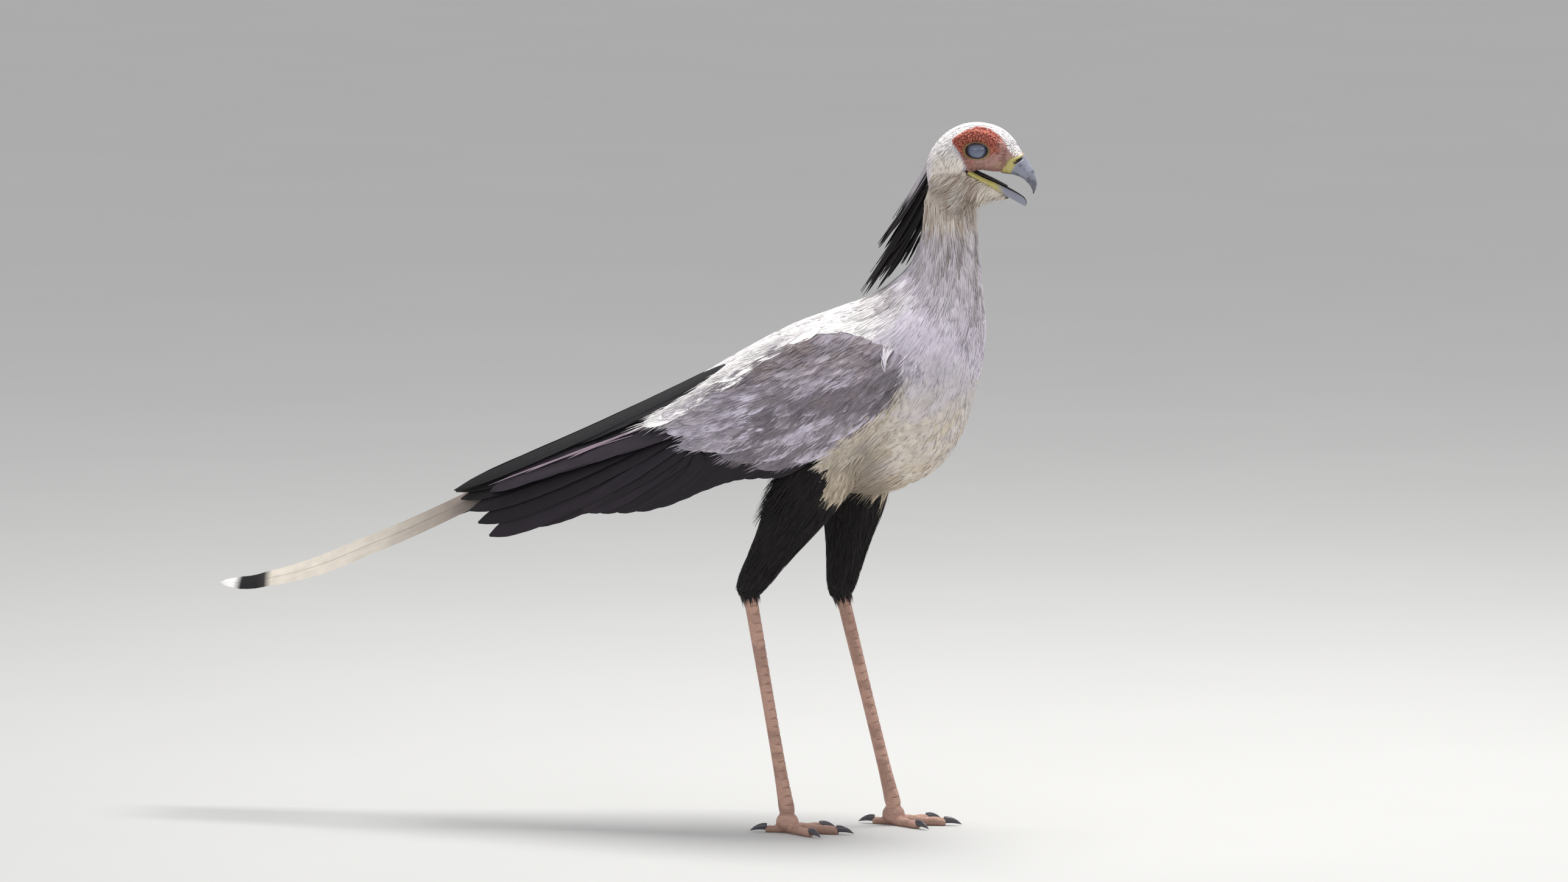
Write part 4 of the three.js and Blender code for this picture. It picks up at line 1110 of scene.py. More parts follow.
coat("coat_flank", flank_keep, black_tint, 27, 4.2, 52, 2.2, (0.3, 6, 13), rows=4, flow=flank_flow,
     jitter=0.1, **DARK)


# Papillae of the bare face
def papilla_keep(p):
    x, _, z = p.T
    rough = np.maximum(step(864, 873, z), step(164, 158, x))
    rough = np.maximum(rough, 0.12 * step(838, 846, z))
    return rough * step(211, 200, x) * (face_depth(p) > 0.6) * (eye_distance(p) > 15.6)


def papillae():
    """Small blunt cones crowded over the red skin."""
    rng = np.random.default_rng(41)
    roots = seeds(skin, papilla_keep, 2.45, rng)
    count = len(roots)
    near, normal = nearest(skin_tree, roots)
    x, _, z = near.T
    big = rng.uniform(0.7, 1.35, (count, 1)) * mix(0.6, 1, step(858, 872, z))[:, None]
    lean = unit(normal + np.array([-0.15, 0, -0.25]))[:, None]
    centre = near[:, None] + lean * (big * [-0.5, 1.0, 1.9])[..., None]
    across = unit(np.cross(lean, UP + rng.normal(0, 0.3, (count, 1, 3))))
    half = 1.35 * big * [1.0, 0.86, 0.4]
    ring = np.stack([np.cos(around(6)), np.sin(around(6))], -1)
    flesh = blend(RED, ORANGE, rng.random(count))
    flesh = blend(flesh, MAUVE, np.maximum(step(866, 857, z), step(192, 206, x)) * 0.85)
    # painted shade at each papilla's base and painted light on its tip
    tint = vary(rng, flesh, 0.08)[:, None] * mix(0.7, 1.1, np.linspace(0, 1, 3))[None, :, None]
    out = np.cross(across, lean)
    made = blades("face_papillae", centre, across, out, half, half, ring, unwrap(roots), tint)
    assign(made, skin_material("papilla_skin", 0.5, 600.0, 0.0003))


papillae()


# Eyes
def make_eye(name, side):
    a, b = np.linspace(0, math.pi, 48)[1:-1, None], around(64)
    rings = np.stack([np.cos(b) * np.sin(a), np.cos(a) * side + 0 * b, np.sin(b) * np.sin(a)], -1)
    points, loops, sizes = loft(rings * (EYE_RADIUS - 0.1))
    return build(name, points + mirrored(EYE_CENTRE, side), loops, sizes)


def eye_material():
    made = Shader("eye_membrane", 0.1, Coat_Weight=1.0, Coat_Roughness=0.03)
    place = made.place()
    cloud = made.noise(scaled(made, place, (140, 140, 500)), 1.0, 4.0)
    # the top of the eye is darker: partly the uncovered eye above the membrane's edge, partly painted shadow
    # of the upper lid
    high = made.spread(split(made, place, 2), (EYE_CENTRE[2] + 4.5) * MM, (EYE_CENTRE[2] + 8.5) * MM)
    pale = made.blend((*colour(0.28, 0.32, 0.41), 1), (*colour(0.42, 0.46, 0.56), 1), cloud)
    made.set("Base Color", made.blend(pale, (*colour(0.22, 0.20, 0.22), 1), high))
    return made.material


EYE_MATERIAL = eye_material()
for name, side in (("right", -1), ("left", 1)):
    assign(make_eye(f"eyeball_{name}", side), EYE_MATERIAL, [f"eye_{name}"])


# Bill
NOSTRIL = np.array([221.6, 854.3])
NOSTRIL_TURN = 0.56
CERE = 5.5  # width of soft yellow skin behind the horn


def upper_bill():
    t, angle = grid(8.2, 17, 130, 80)
    outer = section(SKULL, t, angle)
    behind = bill_cut_distance(outer) + CERE * step(862, 856, outer[..., 2])
    rings = section(SKULL, t, angle, -np.clip(-behind * 0.7, 0, 5))
    rings[..., 1] *= 1 - 0.18 * np.cos(angle).clip(0) ** 2
    u, v = turned_axes(rings[..., 0] - NOSTRIL[0], rings[..., 2] - NOSTRIL[1], NOSTRIL_TURN)
    hole = np.exp(-((u / 6.4) ** 4 + (v / 1.9) ** 4))
    rings[..., 1] *= 1 - 0.3 * hole
    points, loops, sizes = loft(rings)
    x, y, z = points.T
    cut = bill_cut_distance(points)
    smudge = step(0.45, 0.85, value_noise(x / 5 + 9, z / 4 + 3, 31)) + step(838, 828, z) * 0.5
    tint = blend(HORN, HORN_DARK, np.clip(smudge, 0, 1) * step(3, 7, cut) * 0.62)
    tint = blend(tint, blend(YELLOW, OLIVE, 0.35), step(3.0, 1.0, cut + 0.1 * (z - 850)))
    tint = blend(tint, MAUVE, step(858, 864, z) * step(6, 1, cut) * 0.7)
    # the nostril is painted near black: painted shade in the hole
    tint = blend(tint, MOUTH_SHADOW, step(0.3, 0.6, hole.reshape(-1)))
    # the upper bill's underside within the gape is painted dark: painted shadow of the mouth
    under_z = np.interp(x, [200, 222, 238, 244], [840, 836, 824, 818])
    under = (np.abs(y) < np.interp(x, [200, 240], [10.5, 1.2])) & (z < under_z)
    return build("upper_bill_horn", points, loops, sizes, tint=blend(tint, MOUTH_SHADOW, under * 0.9))


def lower_bill():
    t, angle = grid(0, 6, 100, 60)
    points, loops, sizes = loft(section(LOWER_BILL, t, angle))
    row = smooth(LOWER_BILL, t.ravel())
    off = np.abs(points[:, 1]) / row[:, 4]
    lower = (points[:, 2] > (row[:, 1] + row[:, 3]) / 2 - 1) & (off < 0.72)
    points[:, 2] -= lower * 0.45 * (row[:, 1] - row[:, 3]) * step(0.72, 0.5, off)
    tint = blend(YELLOW * 0.92, HORN, step(194, 206, points[:, 0] + 0.3 * (points[:, 2] - 815)))
    # the sunken groove along the lower bill's top is painted near black: painted shadow in it
    return build("lower_bill_horn", points, loops, sizes, tint=blend(tint, MOUTH_SHADOW, lower))


HORN_MATERIAL = skin_material("horn", 0.3, 120.0, 0.0002, Coat_Weight=0.3)
assign(upper_bill(), HORN_MATERIAL, ["upper_bill"])
assign(lower_bill(), HORN_MATERIAL, ["lower_bill"])


def tongue():
    # the tongue is painted dark: painted shade of the mouth's inside
    return build("tongue_flesh", *body_loft(TONGUE, 0, 4, 60, 40), tint=MOUTH_SHADOW * 1.6)


assign(tongue(), skin_material("mouth_skin", 0.35, 300.0, 0.0003, Coat_Weight=0.4), ["tongue"])


# Wings
GREY_LOWER = [(94, 585), (78, 558), (42, 532), (14, 504), (-14, 482), (-62, 463), (-107, 470), (-130, 474),
              (-170, 490), (-211, 490), (-232, 512)]
WHITE_LOWER = [(97, 640), (19, 639), (-27, 629), (-68, 624), (-107, 605), (-137, 584), (-176, 556),
               (-216, 530), (-262, 506)]


def covert_flow(x, z):
    """Direction in which the wing's small feathers lie, as an angle below the rearward line."""
    low = np.clip((curve(WHITE_LOWER, x) - z) / 150, 0, 1)
    front = step(-120, 60, x)
    return np.radians(mix(27, 52, front * 0.6 + low * 0.4))


COVERT_SHAPE = (0.35, 0.7, 0.9, 1.0, 0.97, 0.84, 0.58, 0.14)
FLIGHT_SHAPE = (0.3, 0.7, 0.85, 0.9, 0.95, 1.0, 1.0, 1.0, 1.0, 1.0, 1.0, 0.99, 0.97, 0.94, 0.9, 0.83, 0.72,
                0.52, 0.08)


def sheet_feathers(name, side, tips, angle, length, width, lift, tint, material, seed, rows, bow=0.05,
                   tuck=0.8, patch=PATCH, thick=0.18, jag=0.1, shape=COVERT_SHAPE, replaces=()):
    """Feathers on the wing sheet, given by their tips, headings and lengths."""
    rng = np.random.default_rng(seed)
    count = len(tips)
    angle, length, width = (np.full(count, v, float)[:, None] for v in (angle, length, width))
    share = np.linspace(0, 1, rows)
    along = (share - 1) * length
    bend = bow * length * 4 * share * (1 - share)
    x = tips[:, :1] - np.cos(angle) * along + np.sin(angle) * bend
    z = tips[:, 1:] - np.sin(angle) * along - np.cos(angle) * bend
    height = mix(lift[0], lift[1], share) + rng.uniform(-0.35, 0.35, (count, 1))
    centre, out = on_sheet(x, z, height, side)
    across, out = frames(centre, out)
    leaned = unit(across + out * (side * tuck / np.maximum(width[..., None], 1)) * 2)
    profile = profile_of(shape, rows)
    half = width / 2 * profile * rng.uniform(1 - jag, 1 + jag, (count, rows))
    deep = np.full((count, rows), thick) * np.minimum(1, profile + 0.2)
    # painted shade at each feather's root and painted light towards its tip
    tints = np.broadcast_to(tint, (count, 3))[:, None] * mix(0.9, 1.06, share)[None, :, None]
    made = blades(name, centre, leaned, out, half, deep, VANE_RING, sheet_places(x, z), tints, patch)
    assign(made, material, replaces)
    return centre, across, out, half


def sheet_places(x, z):
    """Places on the map for feathers that lie on the wing, from the first point of each."""
    x, z = (v.reshape(len(v), -1)[:, 0] for v in (x, z))
    return np.stack([0.06 + 0.88 * (x + 540) / 660, 0.06 + 0.88 * (z - 320) / 400], -1)


def fringe(name, vanes, tint, per_side, length, width, seed, first, splay):
    """Loose barbs that leave the sides and tip of each vane."""
    centre, across, out, half = vanes
    rng = np.random.default_rng(seed)
    count, rows = half.shape
    number = np.repeat(np.arange(count), 2 * per_side)
    at = rng.uniform(first, 1.0, len(number))
    left = np.tile(np.repeat([-1.0, 1.0], per_side), count)
    index = np.minimum((at * (rows - 1)).astype(int), rows - 2)
    part = at * (rows - 1) - index

    def read(values):
        low, high = values[number, index], values[number, index + 1]
        return low + (high - low) * part.reshape((-1,) + (1,) * (values.ndim - 2))

    ahead = unit(centre[number, index + 1] - centre[number, index])
    side, up = read(across), read(out)
    inner = rng.uniform(0.1, 0.9, len(number)) * left
    root = read(centre) + side * (read(half) * inner)[:, None] + up * (BARB_LIFT * 0.4)
    lean = left * splay * rng.uniform(0.2, 1.3, len(number)) * (1.25 - at)
    heading = unit(ahead + side * lean[:, None])
    long = length * rng.uniform(0.6, 1.3, (len(number), 1))
    share = np.linspace(0, 1, 3)
    path = root[:, None] + heading[:, None] * (share * long)[..., None]
    path = path + up[:, None] * (BARB_LIFT * np.array([0, 1, 0.4]))[:, None]
    path = path - UP * (share ** 2 * long * 0.06)[..., None]
    slim = width / 2 * rng.uniform(0.7, 1.3, (len(number), 1)) * [0.7, 1.0, 0.15]
    tufts(name, path, up[:, None], slim, sheet_places(root[:, 0], root[:, 2]), vary(rng, tint[number], 0.07),
          WING_HAIR, 0.35)


BARB_LIFT = 0.5
WING_FEATHER = feather_material("wing_feather", 0.22, 0.8, 26.0, 1.6, shaft=0.15)
WING_HAIR = feather_material("wing_hair", 0.2, 0.85, 6.0, 1.6)
PALE_WING = feather_material("pale_wing_feather", 0.2, 0.85, 26.0, 1.6)
FLIGHT_FEATHER = feather_material("flight_feather", 0.55, 0.5, 70.0, 2.4, shaft=0.5, sheen=0.05)
PRIMARY_TIPS = np.array([[-506, 423], [-498, 414], [-484, 400], [-471, 384], [-455, 366], [-406, 381],
                         [-364, 399]])
BLACK_STRIP = [(-514, 419), (-442, 449), (-339, 491), (-260, 525), (-165, 587)]
SECONDARY_EDGE = np.array([[-92, 456.8], [-150, 451.4], [-207, 431.1], [-262, 407.8], [-330, 404.2]])


def flight_row(name, side, tips, angle, length, width, lift, tint, seed, rows, bow, tuck, reach, replaces=()):
    """A row of the wing's long stiff feathers; `reach` is their length on the bake map."""
    sheet_feathers(name, side, tips, angle, length, width, lift, tint, FLIGHT_FEATHER, seed, rows, bow, tuck,
                   (0.02, reach), 0.45, 0.02, FLIGHT_SHAPE, replaces)


def flight_feathers(name, side, seed):
    rng = np.random.default_rng(seed)
    share = np.linspace(0, 1, len(PRIMARY_TIPS))
    run = PRIMARY_TIPS - np.stack([mix(-196, -182, share), mix(558, 488, share)], -1)
    tint = blend(BLACK, PURPLE_AND_SHEEN, rng.uniform(0.2, 0.6, len(share)) * step(0.2, 0.5, share))
    angle = np.arctan2(-run[:, 1], -run[:, 0])
    flight_row(f"primaries_{name}", side, PRIMARY_TIPS, angle, np.hypot(*run.T), 35, (-5, -7.4), tint,
               seed + 1, 30, 0.02, 2.2, 0.2, [f"wing_{name}"])
    share = np.linspace(0, 1, 14)
    tint = blend(BLACK, PURPLE_AND_SHEEN, rng.uniform(0.1, 0.6, 14))
    flight_row(f"secondaries_{name}", side, smooth(SECONDARY_EDGE, share * 4), math.atan2(0.52, 0.8),
               mix(96, 165, share) * 0.95, 36, (-6, -3.2), tint, seed + 2, 22, 0.04, 2.0, 0.08)
    # the black strip along the wing's upper edge
    share = np.linspace(0, 1, 8)
    x = mix(-290, -506, share)
    tips = np.stack([x, curve(BLACK_STRIP, x) + rng.uniform(-2, 2, 8)], -1)
    angle = np.radians(mix(28, 25.5, share))
    tint = blend(BLACK, PURPLE_AND_SHEEN, rng.uniform(0, 0.25, 8))
    flight_row(f"black_strip_{name}", side, tips, angle, (-150 - x) / np.cos(angle), 24, (-3.6, -2), tint,
               seed + 8, 26, 0.01, 1.6, 0.15)
    # the long inner secondaries that cover the closed wing
    share = np.linspace(0, 1, 5)
    tips = np.stack([mix(-300, -455, share), mix(478, 424, share)], -1)
    tint = blend(PURPLE_AND_SHEEN, BLACK, rng.uniform(0.1, 0.5, 5))
    flight_row(f"tertials_{name}", side, tips, math.radians(21), mix(130, 230, share), 30, (-4, -1.5), tint,
               seed + 5, 26, -0.02, 2.0, 0.15)
    # their pale upper edges
    tips = np.array([[-352, 468], [-408, 448], [-458, 430]])
    angle = np.radians([24, 22, 20.5])
    sheet_feathers(f"tertial_edges_{name}", side, tips, angle, [120, 170, 205], [4, 3.5, 3], (-2.4, -0.7),
                   EDGE_LILAC, FLIGHT_FEATHER, seed + 9, 20, -0.012, 0.3, (0.01, 0.1), 0.35, 0.05)


def wing_patches(x, z, seed):
    """Soft patches of the folded wing, drawn out along its feathers."""
    u, v = turned_axes(x, z, math.radians(40))
    return value_noise(u / 22 + 40, v / 11 + 40, seed)


def covert_tint(tips, rng, seed):
    x, z = tips.T
    high = curve(WHITE_LOWER, x)
    pale = step(0.44, 0.62, 0.6 * wing_patches(x, z, seed) + 0.4 * rng.random(len(x)))
    front, band = step(-10, 70, x), step(62, 12, high - z)
    base = blend(WING_DARK, WING_PALE, pale * (1 - 0.75 * front) * (1 - 0.7 * band))
    base = blend(base, WING_BROWN, step(0.4, 0.9, wing_patches(x + 300, z, seed)) * mix(0.35, 0.8, band))
    base = blend(base, WING_PALE, step(-120, -230, x) * 0.5)
    base = base * mix(1, 0.76, np.maximum(front, 0.7 * band))[:, None]
    return vary(rng, blend(base, WHITE, step(-6, 8, z - high)), 0.04)


def coverts(name, side, seed):
    rng = np.random.default_rng(seed + 30)
    x, z = np.meshgrid(np.arange(-300, 100, 14.0), np.arange(440, 660, 11.5))
    tips = np.stack([x.ravel(), z.ravel()], -1) + rng.uniform(-6, 6, (x.size, 2))
    x, z = tips.T
    above, high = z - curve(GREY_LOWER, x), curve(WHITE_LOWER, x)
    keep = (above > 0) & (z < np.minimum(high + 5, sheet_row(x + 20)[:, 0] - 16)) & (x > -236) & (x < 80)
    x, z, tips, above, high = (v[keep] for v in (x, z, tips, above, high))
    grade, front = step(0, 80, above), step(0, 90, x)
    length = mix(80, 50, grade) * mix(1, 0.66, front)
    width = mix(31, 20, grade) * mix(1, 0.6, front)
    angle = covert_flow(x, z) + rng.normal(0, 0.09, len(tips))
    # shorter where the root would lie beyond the wing's front or top, or a grey one in the white
    for _ in range(8):
        root_x, root_z = x + length * np.cos(angle), z + length * np.sin(angle)
        most = sheet_row(root_x)[:, 0] - 2
        most = np.where(z < high, np.minimum(most, curve(WHITE_LOWER, root_x) + 4), most)
        inside = (root_x < 100) & (root_z < most)
        length = np.where(inside, length, length * 0.82)
    tips, high, length, width, angle = (v[inside] for v in (tips, high, length, width, angle))
    tint = covert_tint(tips, rng, seed)
    vanes = sheet_feathers(f"coverts_{name}", side, tips, angle, length, width, (-1.0, 1.6), tint,
                           WING_FEATHER, seed + 3, 9, jag=0.09)
    brown = rng.uniform(0, 0.5, len(tips)) * step(-160, -40, tips[:, 0]) * (tips[:, 1] < high)
    fringe(f"covert_barbs_{name}", vanes, blend(tint, WING_BROWN, brown), 21, 15, 0.7, seed + 6, 0.25, 0.2)


def scapulars(name, side, seed):
    rng = np.random.default_rng(seed + 40)
    x, row = np.meshgrid(np.arange(-268, 44, 14.0), np.arange(7))
    tips = np.stack([x.ravel(), curve(WHITE_LOWER, x.ravel()) + 5 + row.ravel() * 12], -1)
    tips = tips + rng.uniform(-5, 5, tips.shape)
    top = sheet_row(tips[:, 0])[:, 0]
    tips = tips[tips[:, 1] < top - mix(12, 24, step(-110, -190, tips[:, 0]))]
    rear = step(-60, -220, tips[:, 0])
    long = mix(48, 84, rear)
    fits = tips[:, 1] + 0.48 * long < sheet_row(tips[:, 0] + 0.88 * long)[:, 0] - 2
    tips, rear, long = tips[fits], rear[fits], long[fits]
    angle = np.radians(mix(26, 31, rear)) + rng.normal(0, 0.06, len(tips))
    tint = WHITE * rng.uniform(0.95, 1.02, (len(tips), 1))
    vanes = sheet_feathers(f"scapulars_{name}", side, tips, angle, long, mix(24, 27, rear), (0.0, 1.5), tint,
                           PALE_WING, seed + 4, 8, jag=0.08)
    fringe(f"scapular_barbs_{name}", vanes, tint, 24, 26, 0.75, seed + 7, 0.1, 0.22)


WING_FRONT = np.array([[104, 648], [103, 615], [98, 588], [84, 560], [62, 540], [38, 522], [14, 500],
                       [-12, 479], [-40, 466]])


def front_fluff(name, side, seed):
    """Breast feathers that lie over the front edge of the folded wing."""
    rng = np.random.default_rng(seed + 50)
    count = 1900
    at = rng.uniform(0, len(WING_FRONT) - 2.4, count)
    ahead = rng.uniform(-4, 20, count)
    edge = smooth(WING_FRONT, at)
    root = edge + np.stack([ahead, -3 + rng.normal(0, 4, count)], -1)
    angle = np.radians(curve([(0, 70), (2, 60), (4, 48), (6, 40), (8, 32)], at)) + rng.normal(0, 0.12, count)
    long = rng.uniform(26, 42, count) + 0.8 * ahead
    share = np.linspace(0, 1, 4)
    x = root[:, :1] - np.cos(angle)[:, None] * share * long[:, None]
    z = root[:, 1:] - np.sin(angle)[:, None] * share * long[:, None]
    height = np.interp(share, [0, 0.3, 1], [-5, 1.2, 3.2]) * rng.uniform(0.7, 1.2, (count, 1))
    centre, out = on_sheet(x, z, height - 1.1 * np.maximum(0, x - edge[:, :1]), side)
    half = rng.uniform(0.7, 1.5, (count, 1)) * [0.7, 1.0, 0.8, 0.12]
    base = blend(CREAM, LILAC, step(2.2, 0.8, at))
    base = blend(base, BUFF, rng.uniform(0, 0.7, count) * step(2, 4, at))
    # darkened to match the breast: partly its own tone, partly painted shade
    tufts(f"wing_front_fluff_{name}", centre, out, half, sheet_places(x, z), vary(rng, base * 0.78, 0.05),
          HAIR_FEATHER)


def top_fluff(name, side, seed):
    """Feathers of the back that close the gap along the folded wing's upper edge."""
    rng = np.random.default_rng(seed + 60)
    count = 1300
    x = rng.uniform(-165, 70, count)

    def edge(x):
        top = sheet_row(x)[:, 0] - 16
        return np.stack([x, side * sheet_y(x, top), top], -1)

    inward = nearest(skin_tree, edge(x))[0] - edge(x)
    root = edge(x) + inward * rng.uniform(0.15, 0.95, (count, 1))
    ahead = unit(unit(edge(x - 6) - edge(x)) + unit(inward) * rng.uniform(0, 0.35, (count, 1)))
    reach = np.linspace(0, 1, 3) * rng.uniform(26, 44, (count, 1))
    path = root[:, None] + ahead[:, None] * reach[..., None]
    rise = np.array([-1.5, 1.6, 0.4]) * rng.uniform(0.6, 1.2, (count, 1))
    up = unit(np.array([0, 0.35 * side, 1.0]))
    half = rng.uniform(0.7, 1.3, (count, 1)) * [0.7, 1.0, 0.15]
    base = blend(WHITE, LILAC, rng.uniform(0, 0.5, count))
    places = sheet_places(root[:, 0], root[:, 2])
    tufts(f"wing_top_fluff_{name}", path + up * rise[..., None], up, half, places, vary(rng, base, 0.04),
          HAIR_FEATHER)


def shoulder_plume():
    """The small white feather that curls out of the right wing's front."""
    rng = np.random.default_rng(61)
    count = 26
    share = np.linspace(0, 1, 7)
    spread = rng.normal(0, 1, (count, 1))
    stride = 3.9 * rng.uniform(0.7, 1.1, (count, 1))
    turn = np.radians(mix(122, 66, share)) + 0.26 * spread
    x = 70 + 1.2 * spread + np.cumsum(np.cos(turn), 1) * stride
    z = 594 + rng.uniform(-6, 6, (count, 1)) + np.cumsum(np.sin(turn), 1) * stride
    centre, out = on_sheet(x, z, np.interp(share, [0, 0.4, 1], [1, 4, 4.6])[None], -1)
    half = np.full((count, 1), 0.5) * [0.7, 1, 1, 0.9, 0.8, 0.6, 0.1]
    base = blend(WING_PALE, WHITE, rng.random(count))
    tufts("shoulder_plume", centre, out, half, sheet_places(x, z), vary(rng, base * 0.9, 0.05), HAIR_FEATHER)


for name, side, seed in (("right", -1, 100), ("left", 1, 200)):
    flight_feathers(name, side, seed)
    coverts(name, side, seed)
    scapulars(name, side, seed)
    front_fluff(name, side, seed)
    top_fluff(name, side, seed)
shoulder_plume()


# Tail
TAIL_PALE = colour(0.83, 0.80, 0.75)
TAIL_SHADE = colour(0.52, 0.48, 0.45)
TAIL_GREY = colour(0.66, 0.64, 0.64)


def tail_z(x):
    t = np.interp(-x, -TAIL_LINE[:, 0], np.arange(len(TAIL_LINE)))
    return smooth(TAIL_LINE[:, 1:], t)[..., 0]


def tail_tint(x, from_tip, middle):
    if not middle:
        base = blend(TAIL_GREY, BLACK, step(200, 170, from_tip))
        return blend(base, WHITE, step(26, 20, from_tip))
    base = blend(blend(TAIL_PALE, TAIL_SHADE, step(-680, -480, x)), BLACK, step(-450, -420, x))
    base = blend(base, BLACK, step(26, 30, from_tip) * step(66, 60, from_tip))
    return blend(base, WHITE, step(28, 24, from_tip))


def make_tail():
    rows = 60
    share = np.linspace(0, 1, rows)
    found = []
    for side in (-1, 1):
        for pair, reach in enumerate(RECTRIX_REACH):
            wide = 33 if pair == 0 else 30
            x = mix(-222, reach, share)
            room = 1 - 0.35 * np.maximum(0, 1 - share * 3)
            taper = 1 - 2.6 * np.maximum(0, share - 0.75) ** 1.2
            spread = wide * room * np.where(share < 0.75, 0.8 + 0.27 * share, taper)
            tip = np.sqrt(np.clip((1 - share) / 0.05, 0, 1))
            y = 0.3 + 0.4 * pair + 0.5 * spread * math.cos(TAIL_ROLL)
            z = tail_z(x) + (0.5 * wide - 0.5 * spread) * math.sin(TAIL_ROLL) - 2.2 * pair
            out = np.broadcast_to([0, side * math.sin(TAIL_ROLL), math.cos(TAIL_ROLL)], (rows, 3))
            tint = tail_tint(x, x - reach, pair == 0)
            found.append((np.stack([x, side * y, z], -1), out, 0.5 * spread * tip + 0.3, tint))
    long_vanes("tail_feathers", found, 0.6, 0.08, (0.06, 0.9), TAIL_FEATHER, ["tail"])


TAIL_FEATHER = feather_material("tail_feather", 0.3, 0.65, 60.0, 8.0, shaft=0.3, sheen=0.05)
make_tail()


# Crest: each row's root height, plumes, tip, spread and bow
CREST_ROOT = 113
CREST_ROWS = [
    (866, 9, (60, 772), 10, 0),
    (857, 15, (40, 741), 15, -2),
    (845, 19, (20, 682), 17, -3),
    (832, 17, (34, 694), 20, -5),
    (819, 11, (68, 720), 15, -3),
]
CREST_WRAP = math.radians(62)  # how far each row reaches round the nape


def make_crest():
    rng = np.random.default_rng(21)
    rows = 16
    share = np.linspace(0, 1, rows)
    profile = np.interp(share, [0, 0.3, 0.6, 0.8, 0.93, 1], [0.25, 0.6, 0.9, 1.0, 0.6, 0.08])
    found = []
    for number, (root_z, count, tip, spread, bow) in enumerate(CREST_ROWS):
        for i in range(count):
            wrap = (2 * i / (count - 1) - 1) * CREST_WRAP
            trim = 1 - 0.3 * rng.random() ** 2
            dx, dz = (tip[0] - CREST_ROOT) * trim, (tip[1] - root_z) * trim
            front = np.array([-dz, 0, dx]) / math.hypot(dx, dz)
            radius = mix(12, spread, share)
            sink = radius * (1 - math.cos(wrap)) - bow * 4 * share * (1 - share)
            sink = sink - rng.uniform(-1.5, 5.5) * share
            middle = np.stack([CREST_ROOT + dx * share, radius * math.sin(wrap), root_z + dz * share], -1)
            outward = -front * math.cos(wrap) + np.array([0, 1, 0]) * math.sin(wrap)
            half = rng.uniform(1.6, 2.7) * profile * rng.uniform(0.97, 1.03, rows)
            dark = blend(BLACK, BLACK_BROWN, np.full(rows, rng.random()))
            grey = 1.0 * (number == 0) * rng.uniform(0.6, 1.0) + 0.5 * (number == 1) * (rng.random() < 0.3)
            tint = blend(dark, NECK_GREY * 0.8, grey * step(0.95, 0.6, share))
            found.append((middle + front * sink[:, None], np.broadcast_to(outward, (rows, 3)), half, tint))
    long_vanes("crest", found, 0.4, 0.9 / len(found), (0.015, 0.2), DARK_FEATHER)


make_crest()


# Legs: the shank's place along its length, then its half size front to back and sideways
SHANK = np.array([[-0.055, 8.5, 7.5], [-0.02, 12.5, 10], [0.02, 12, 9.5], [0.075, 8.6, 7.4], [0.2, 8.2, 6.9],
                  [0.5, 7.6, 6.4], [0.8, 8.0, 6.8], [0.93, 9.2, 8], [0.965, 9.8, 9], [1.0, 9.2, 8.6]])


def heading_of(angle, side):
    """The level direction at an angle from straight ahead, outwards on either side."""
    a = math.radians(angle) * side
    return np.array([math.cos(a), math.sin(a), 0])


def beside(heading):
    return (-heading[1], heading[0], 0)


def toe_limb(root, heading, length, radius):
    t = np.linspace(0, 1, 40)
    pads = radius * (1 - 0.22 * t) * (1 + 0.05 * np.cos(5 * math.pi * t))
    path = root + heading * ((length + 1) * t)[:, None] + UP * (pads * 0.92 * TOE_REST)[:, None]
    return limb(path, pads * 0.92, pads, 28, beside(heading))


def make_leg(name, leg):
    side = leg["side"]
    top, low = (mirrored(leg[k], side) for k in ("heel", "ankle"))
    down = low - top
    root = low * (1, 1, 0)
    rows = smooth(SHANK, np.linspace(0, len(SHANK) - 1, 160))
    a = np.linspace(0.08, math.pi - 0.08, 24)
    hub = root + UP * (13.5 + 13 * np.cos(a))[:, None]
    parts = [limb(top + down * rows[:, :1], rows[:, 1], rows[:, 2], 40),
             limb(hub, 14.5 * np.sin(a), 12.5 * np.sin(a), 32)]
    for angle, length, radius in TOES.values():
        parts.append(toe_limb(root, heading_of(angle, side), length, radius))
    made = fused(f"leg_{name}", parts, 1.6, 3)
    points = coordinates(made.data)
    points[:, 2] = np.maximum(points[:, 2], 0.0)
    t = np.clip((points - top) @ down / (down @ down), -0.1, 1)
    outward = unit(points - (top + down * t[:, None]))
    # scutes down the front of the shank
    groove = np.abs(t * 26 % 1 - 0.5) * 2
    shield = step(-0.2, 0.5, outward[:, 0]) * (points[:, 2] > 26)
    points += outward * (0.75 * step(1.0, 0.75, groove) * shield)[:, None]
    move_points(made.data, points)
    _, y, z = points.T
    tint = blend(LEG, SCUTE_EDGE, step(0.75, 1.0, groove) * shield)
    tint = blend(tint, SCUTE_EDGE * 1.1, step(0.4, 0.8, value_noise(z / 9, y / 4 + 20, 61)) * 0.5)
    paint(made.data, blend(tint, SCUTE_EDGE, 0.35 * step(14, 2, z)))
    assign(made, LEG_MATERIAL, [f"tarsus_{name}", f"foot_{name}"])
    cuff(name, top, unit(down))
    for toe, (angle, length, _) in TOES.items():
        make_claw(f"{name}_{toe}", root, heading_of(angle, side), length)


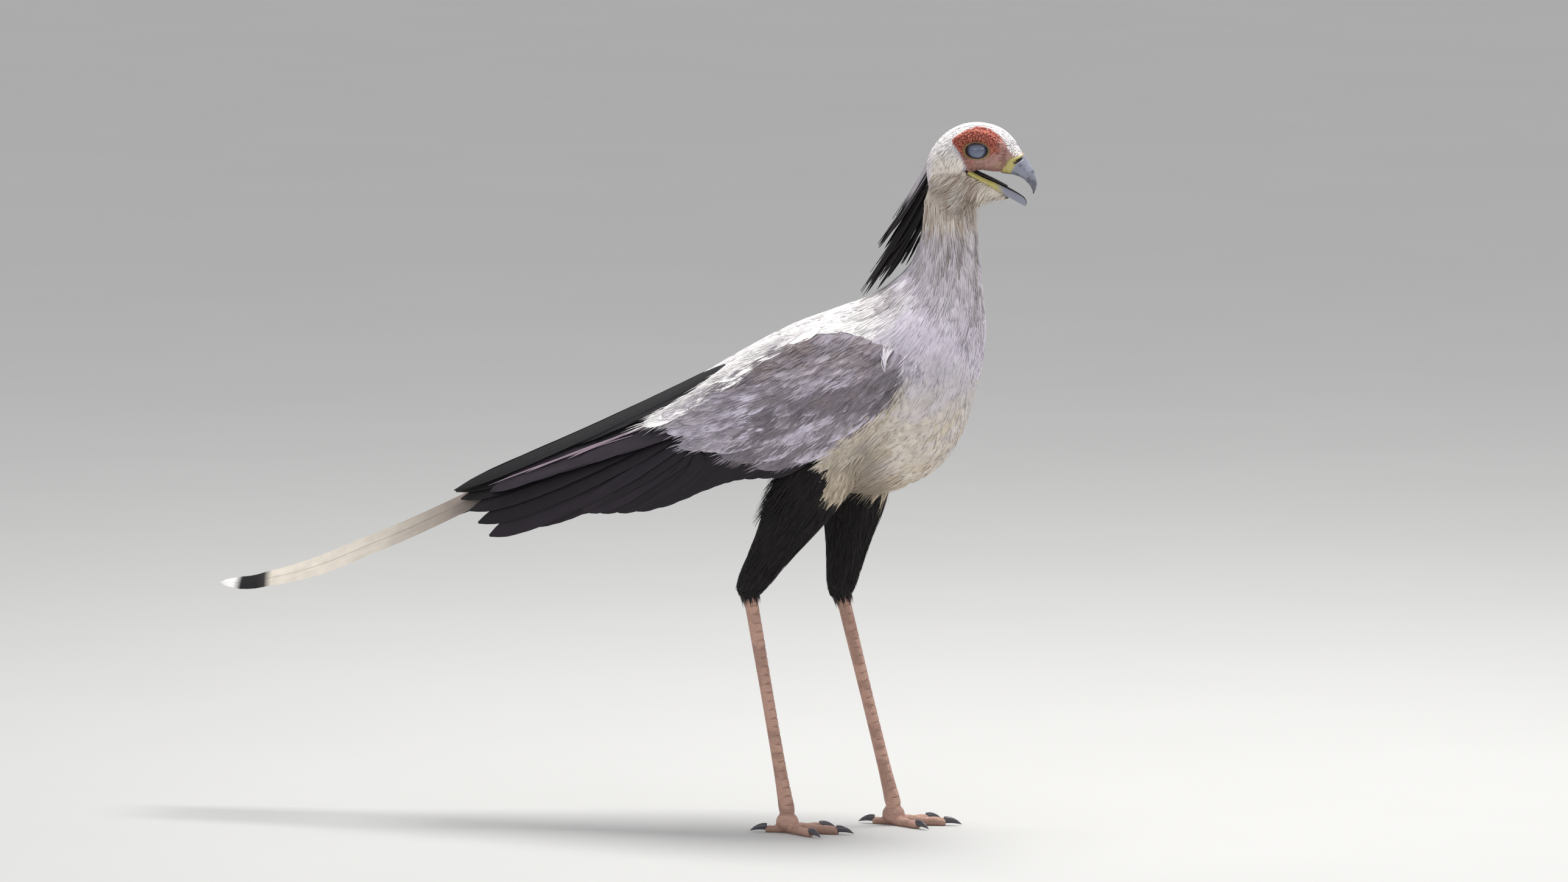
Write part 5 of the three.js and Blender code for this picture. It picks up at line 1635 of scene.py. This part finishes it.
def cuff(name, top, axis):
    """The thigh's last feathers, which hang round the heel."""
    rng = np.random.default_rng(81)
    count = 420
    turn = rng.uniform(0, 2 * math.pi, count)
    radial = np.stack([np.cos(turn), np.sin(turn), np.zeros(count)], -1)
    radial = unit(radial - axis * (radial @ axis)[:, None])[:, None]
    start = rng.uniform(-16, 0, count)
    long = rng.uniform(8, 26, count)
    share = np.linspace(0, 1, 4)
    away = np.interp(share, [0, 0.4, 1], [0.6, 1.0, 0.98]) * rng.uniform(11.0, 13.0, (count, 1))
    drop = start[:, None] + share * long[:, None]
    centre = top + axis * drop[..., None] + radial * away[..., None]
    half = rng.uniform(0.8, 1.4, (count, 1)) * [0.7, 1.0, 0.75, 0.12]
    roots = np.stack([0.1 + 0.8 * turn / (2 * math.pi), 0.5 + start / 100], -1)
    tufts(f"heel_feathers_{name}", centre, radial, half, roots, blend(BLACK, BLACK_BROWN, rng.random(count)),
          DARK_FEATHER)


def make_claw(name, root, heading, length):
    t = np.linspace(0, 1, 40)
    reach = 21 if name.endswith("rear") else 22
    path = root + heading * (length - 1 + reach * t)[:, None] + UP * (7.4 + 2 * t - 7.2 * t * t)[:, None]
    girth = smooth(np.array([4.4, 4.3, 3.4, 2.2, 0.5])[:, None], t * 4)[:, 0]
    made = build(f"talon_{name}", *limb(path, girth, girth * 0.8, 28, beside(heading)), tint=HORN_DARK * 1.6)
    assign(made, HORN_MATERIAL, [f"claw_{name}"])


LEG_MATERIAL = skin_material("leg_skin", 0.5, 300.0, 0.0008)
for name, leg in LEGS.items():
    make_leg(name, leg)


# Floor and light
def make_floor():
    size, sides = 60000, 96
    angle = around(sides)
    points = np.stack([size * np.cos(angle), size * np.sin(angle), 0 * angle], -1)
    floor = build("floor", points, np.arange(sides), np.array([sides]))
    made = Shader("floor_pale", 0.9)
    cloud = made.noise(made.place(), 2.0)
    made.set("Base Color", made.blend((0.56, 0.56, 0.545, 1), (0.59, 0.59, 0.575, 1), cloud))
    floor.data.materials.append(made.material)


def light(name, place, size, power, tone=(1, 1, 1)):
    """A square light that shines straight down."""
    data = bpy.data.lights.new(name, "AREA")
    data.size = size
    data.energy = power
    data.color = tone
    linked(name, data).location = place


make_floor()
light("key", (0.7, 0.5, 3.6), 1.3, 122, (1, 0.99, 0.97))
light("fill", (-1.2, -4.0, 1.6), 3.0, 42)
light("front", (3.4, -1.2, 1.6), 2.0, 22)
bpy.context.scene.view_settings.view_transform = "Standard"
world = bpy.data.worlds.new("studio")
world.use_nodes = True
world.node_tree.nodes["Background"].inputs[0].default_value = (0.93, 0.93, 0.96, 1)
world.node_tree.nodes["Background"].inputs[1].default_value = 0.72
bpy.context.scene.world = world
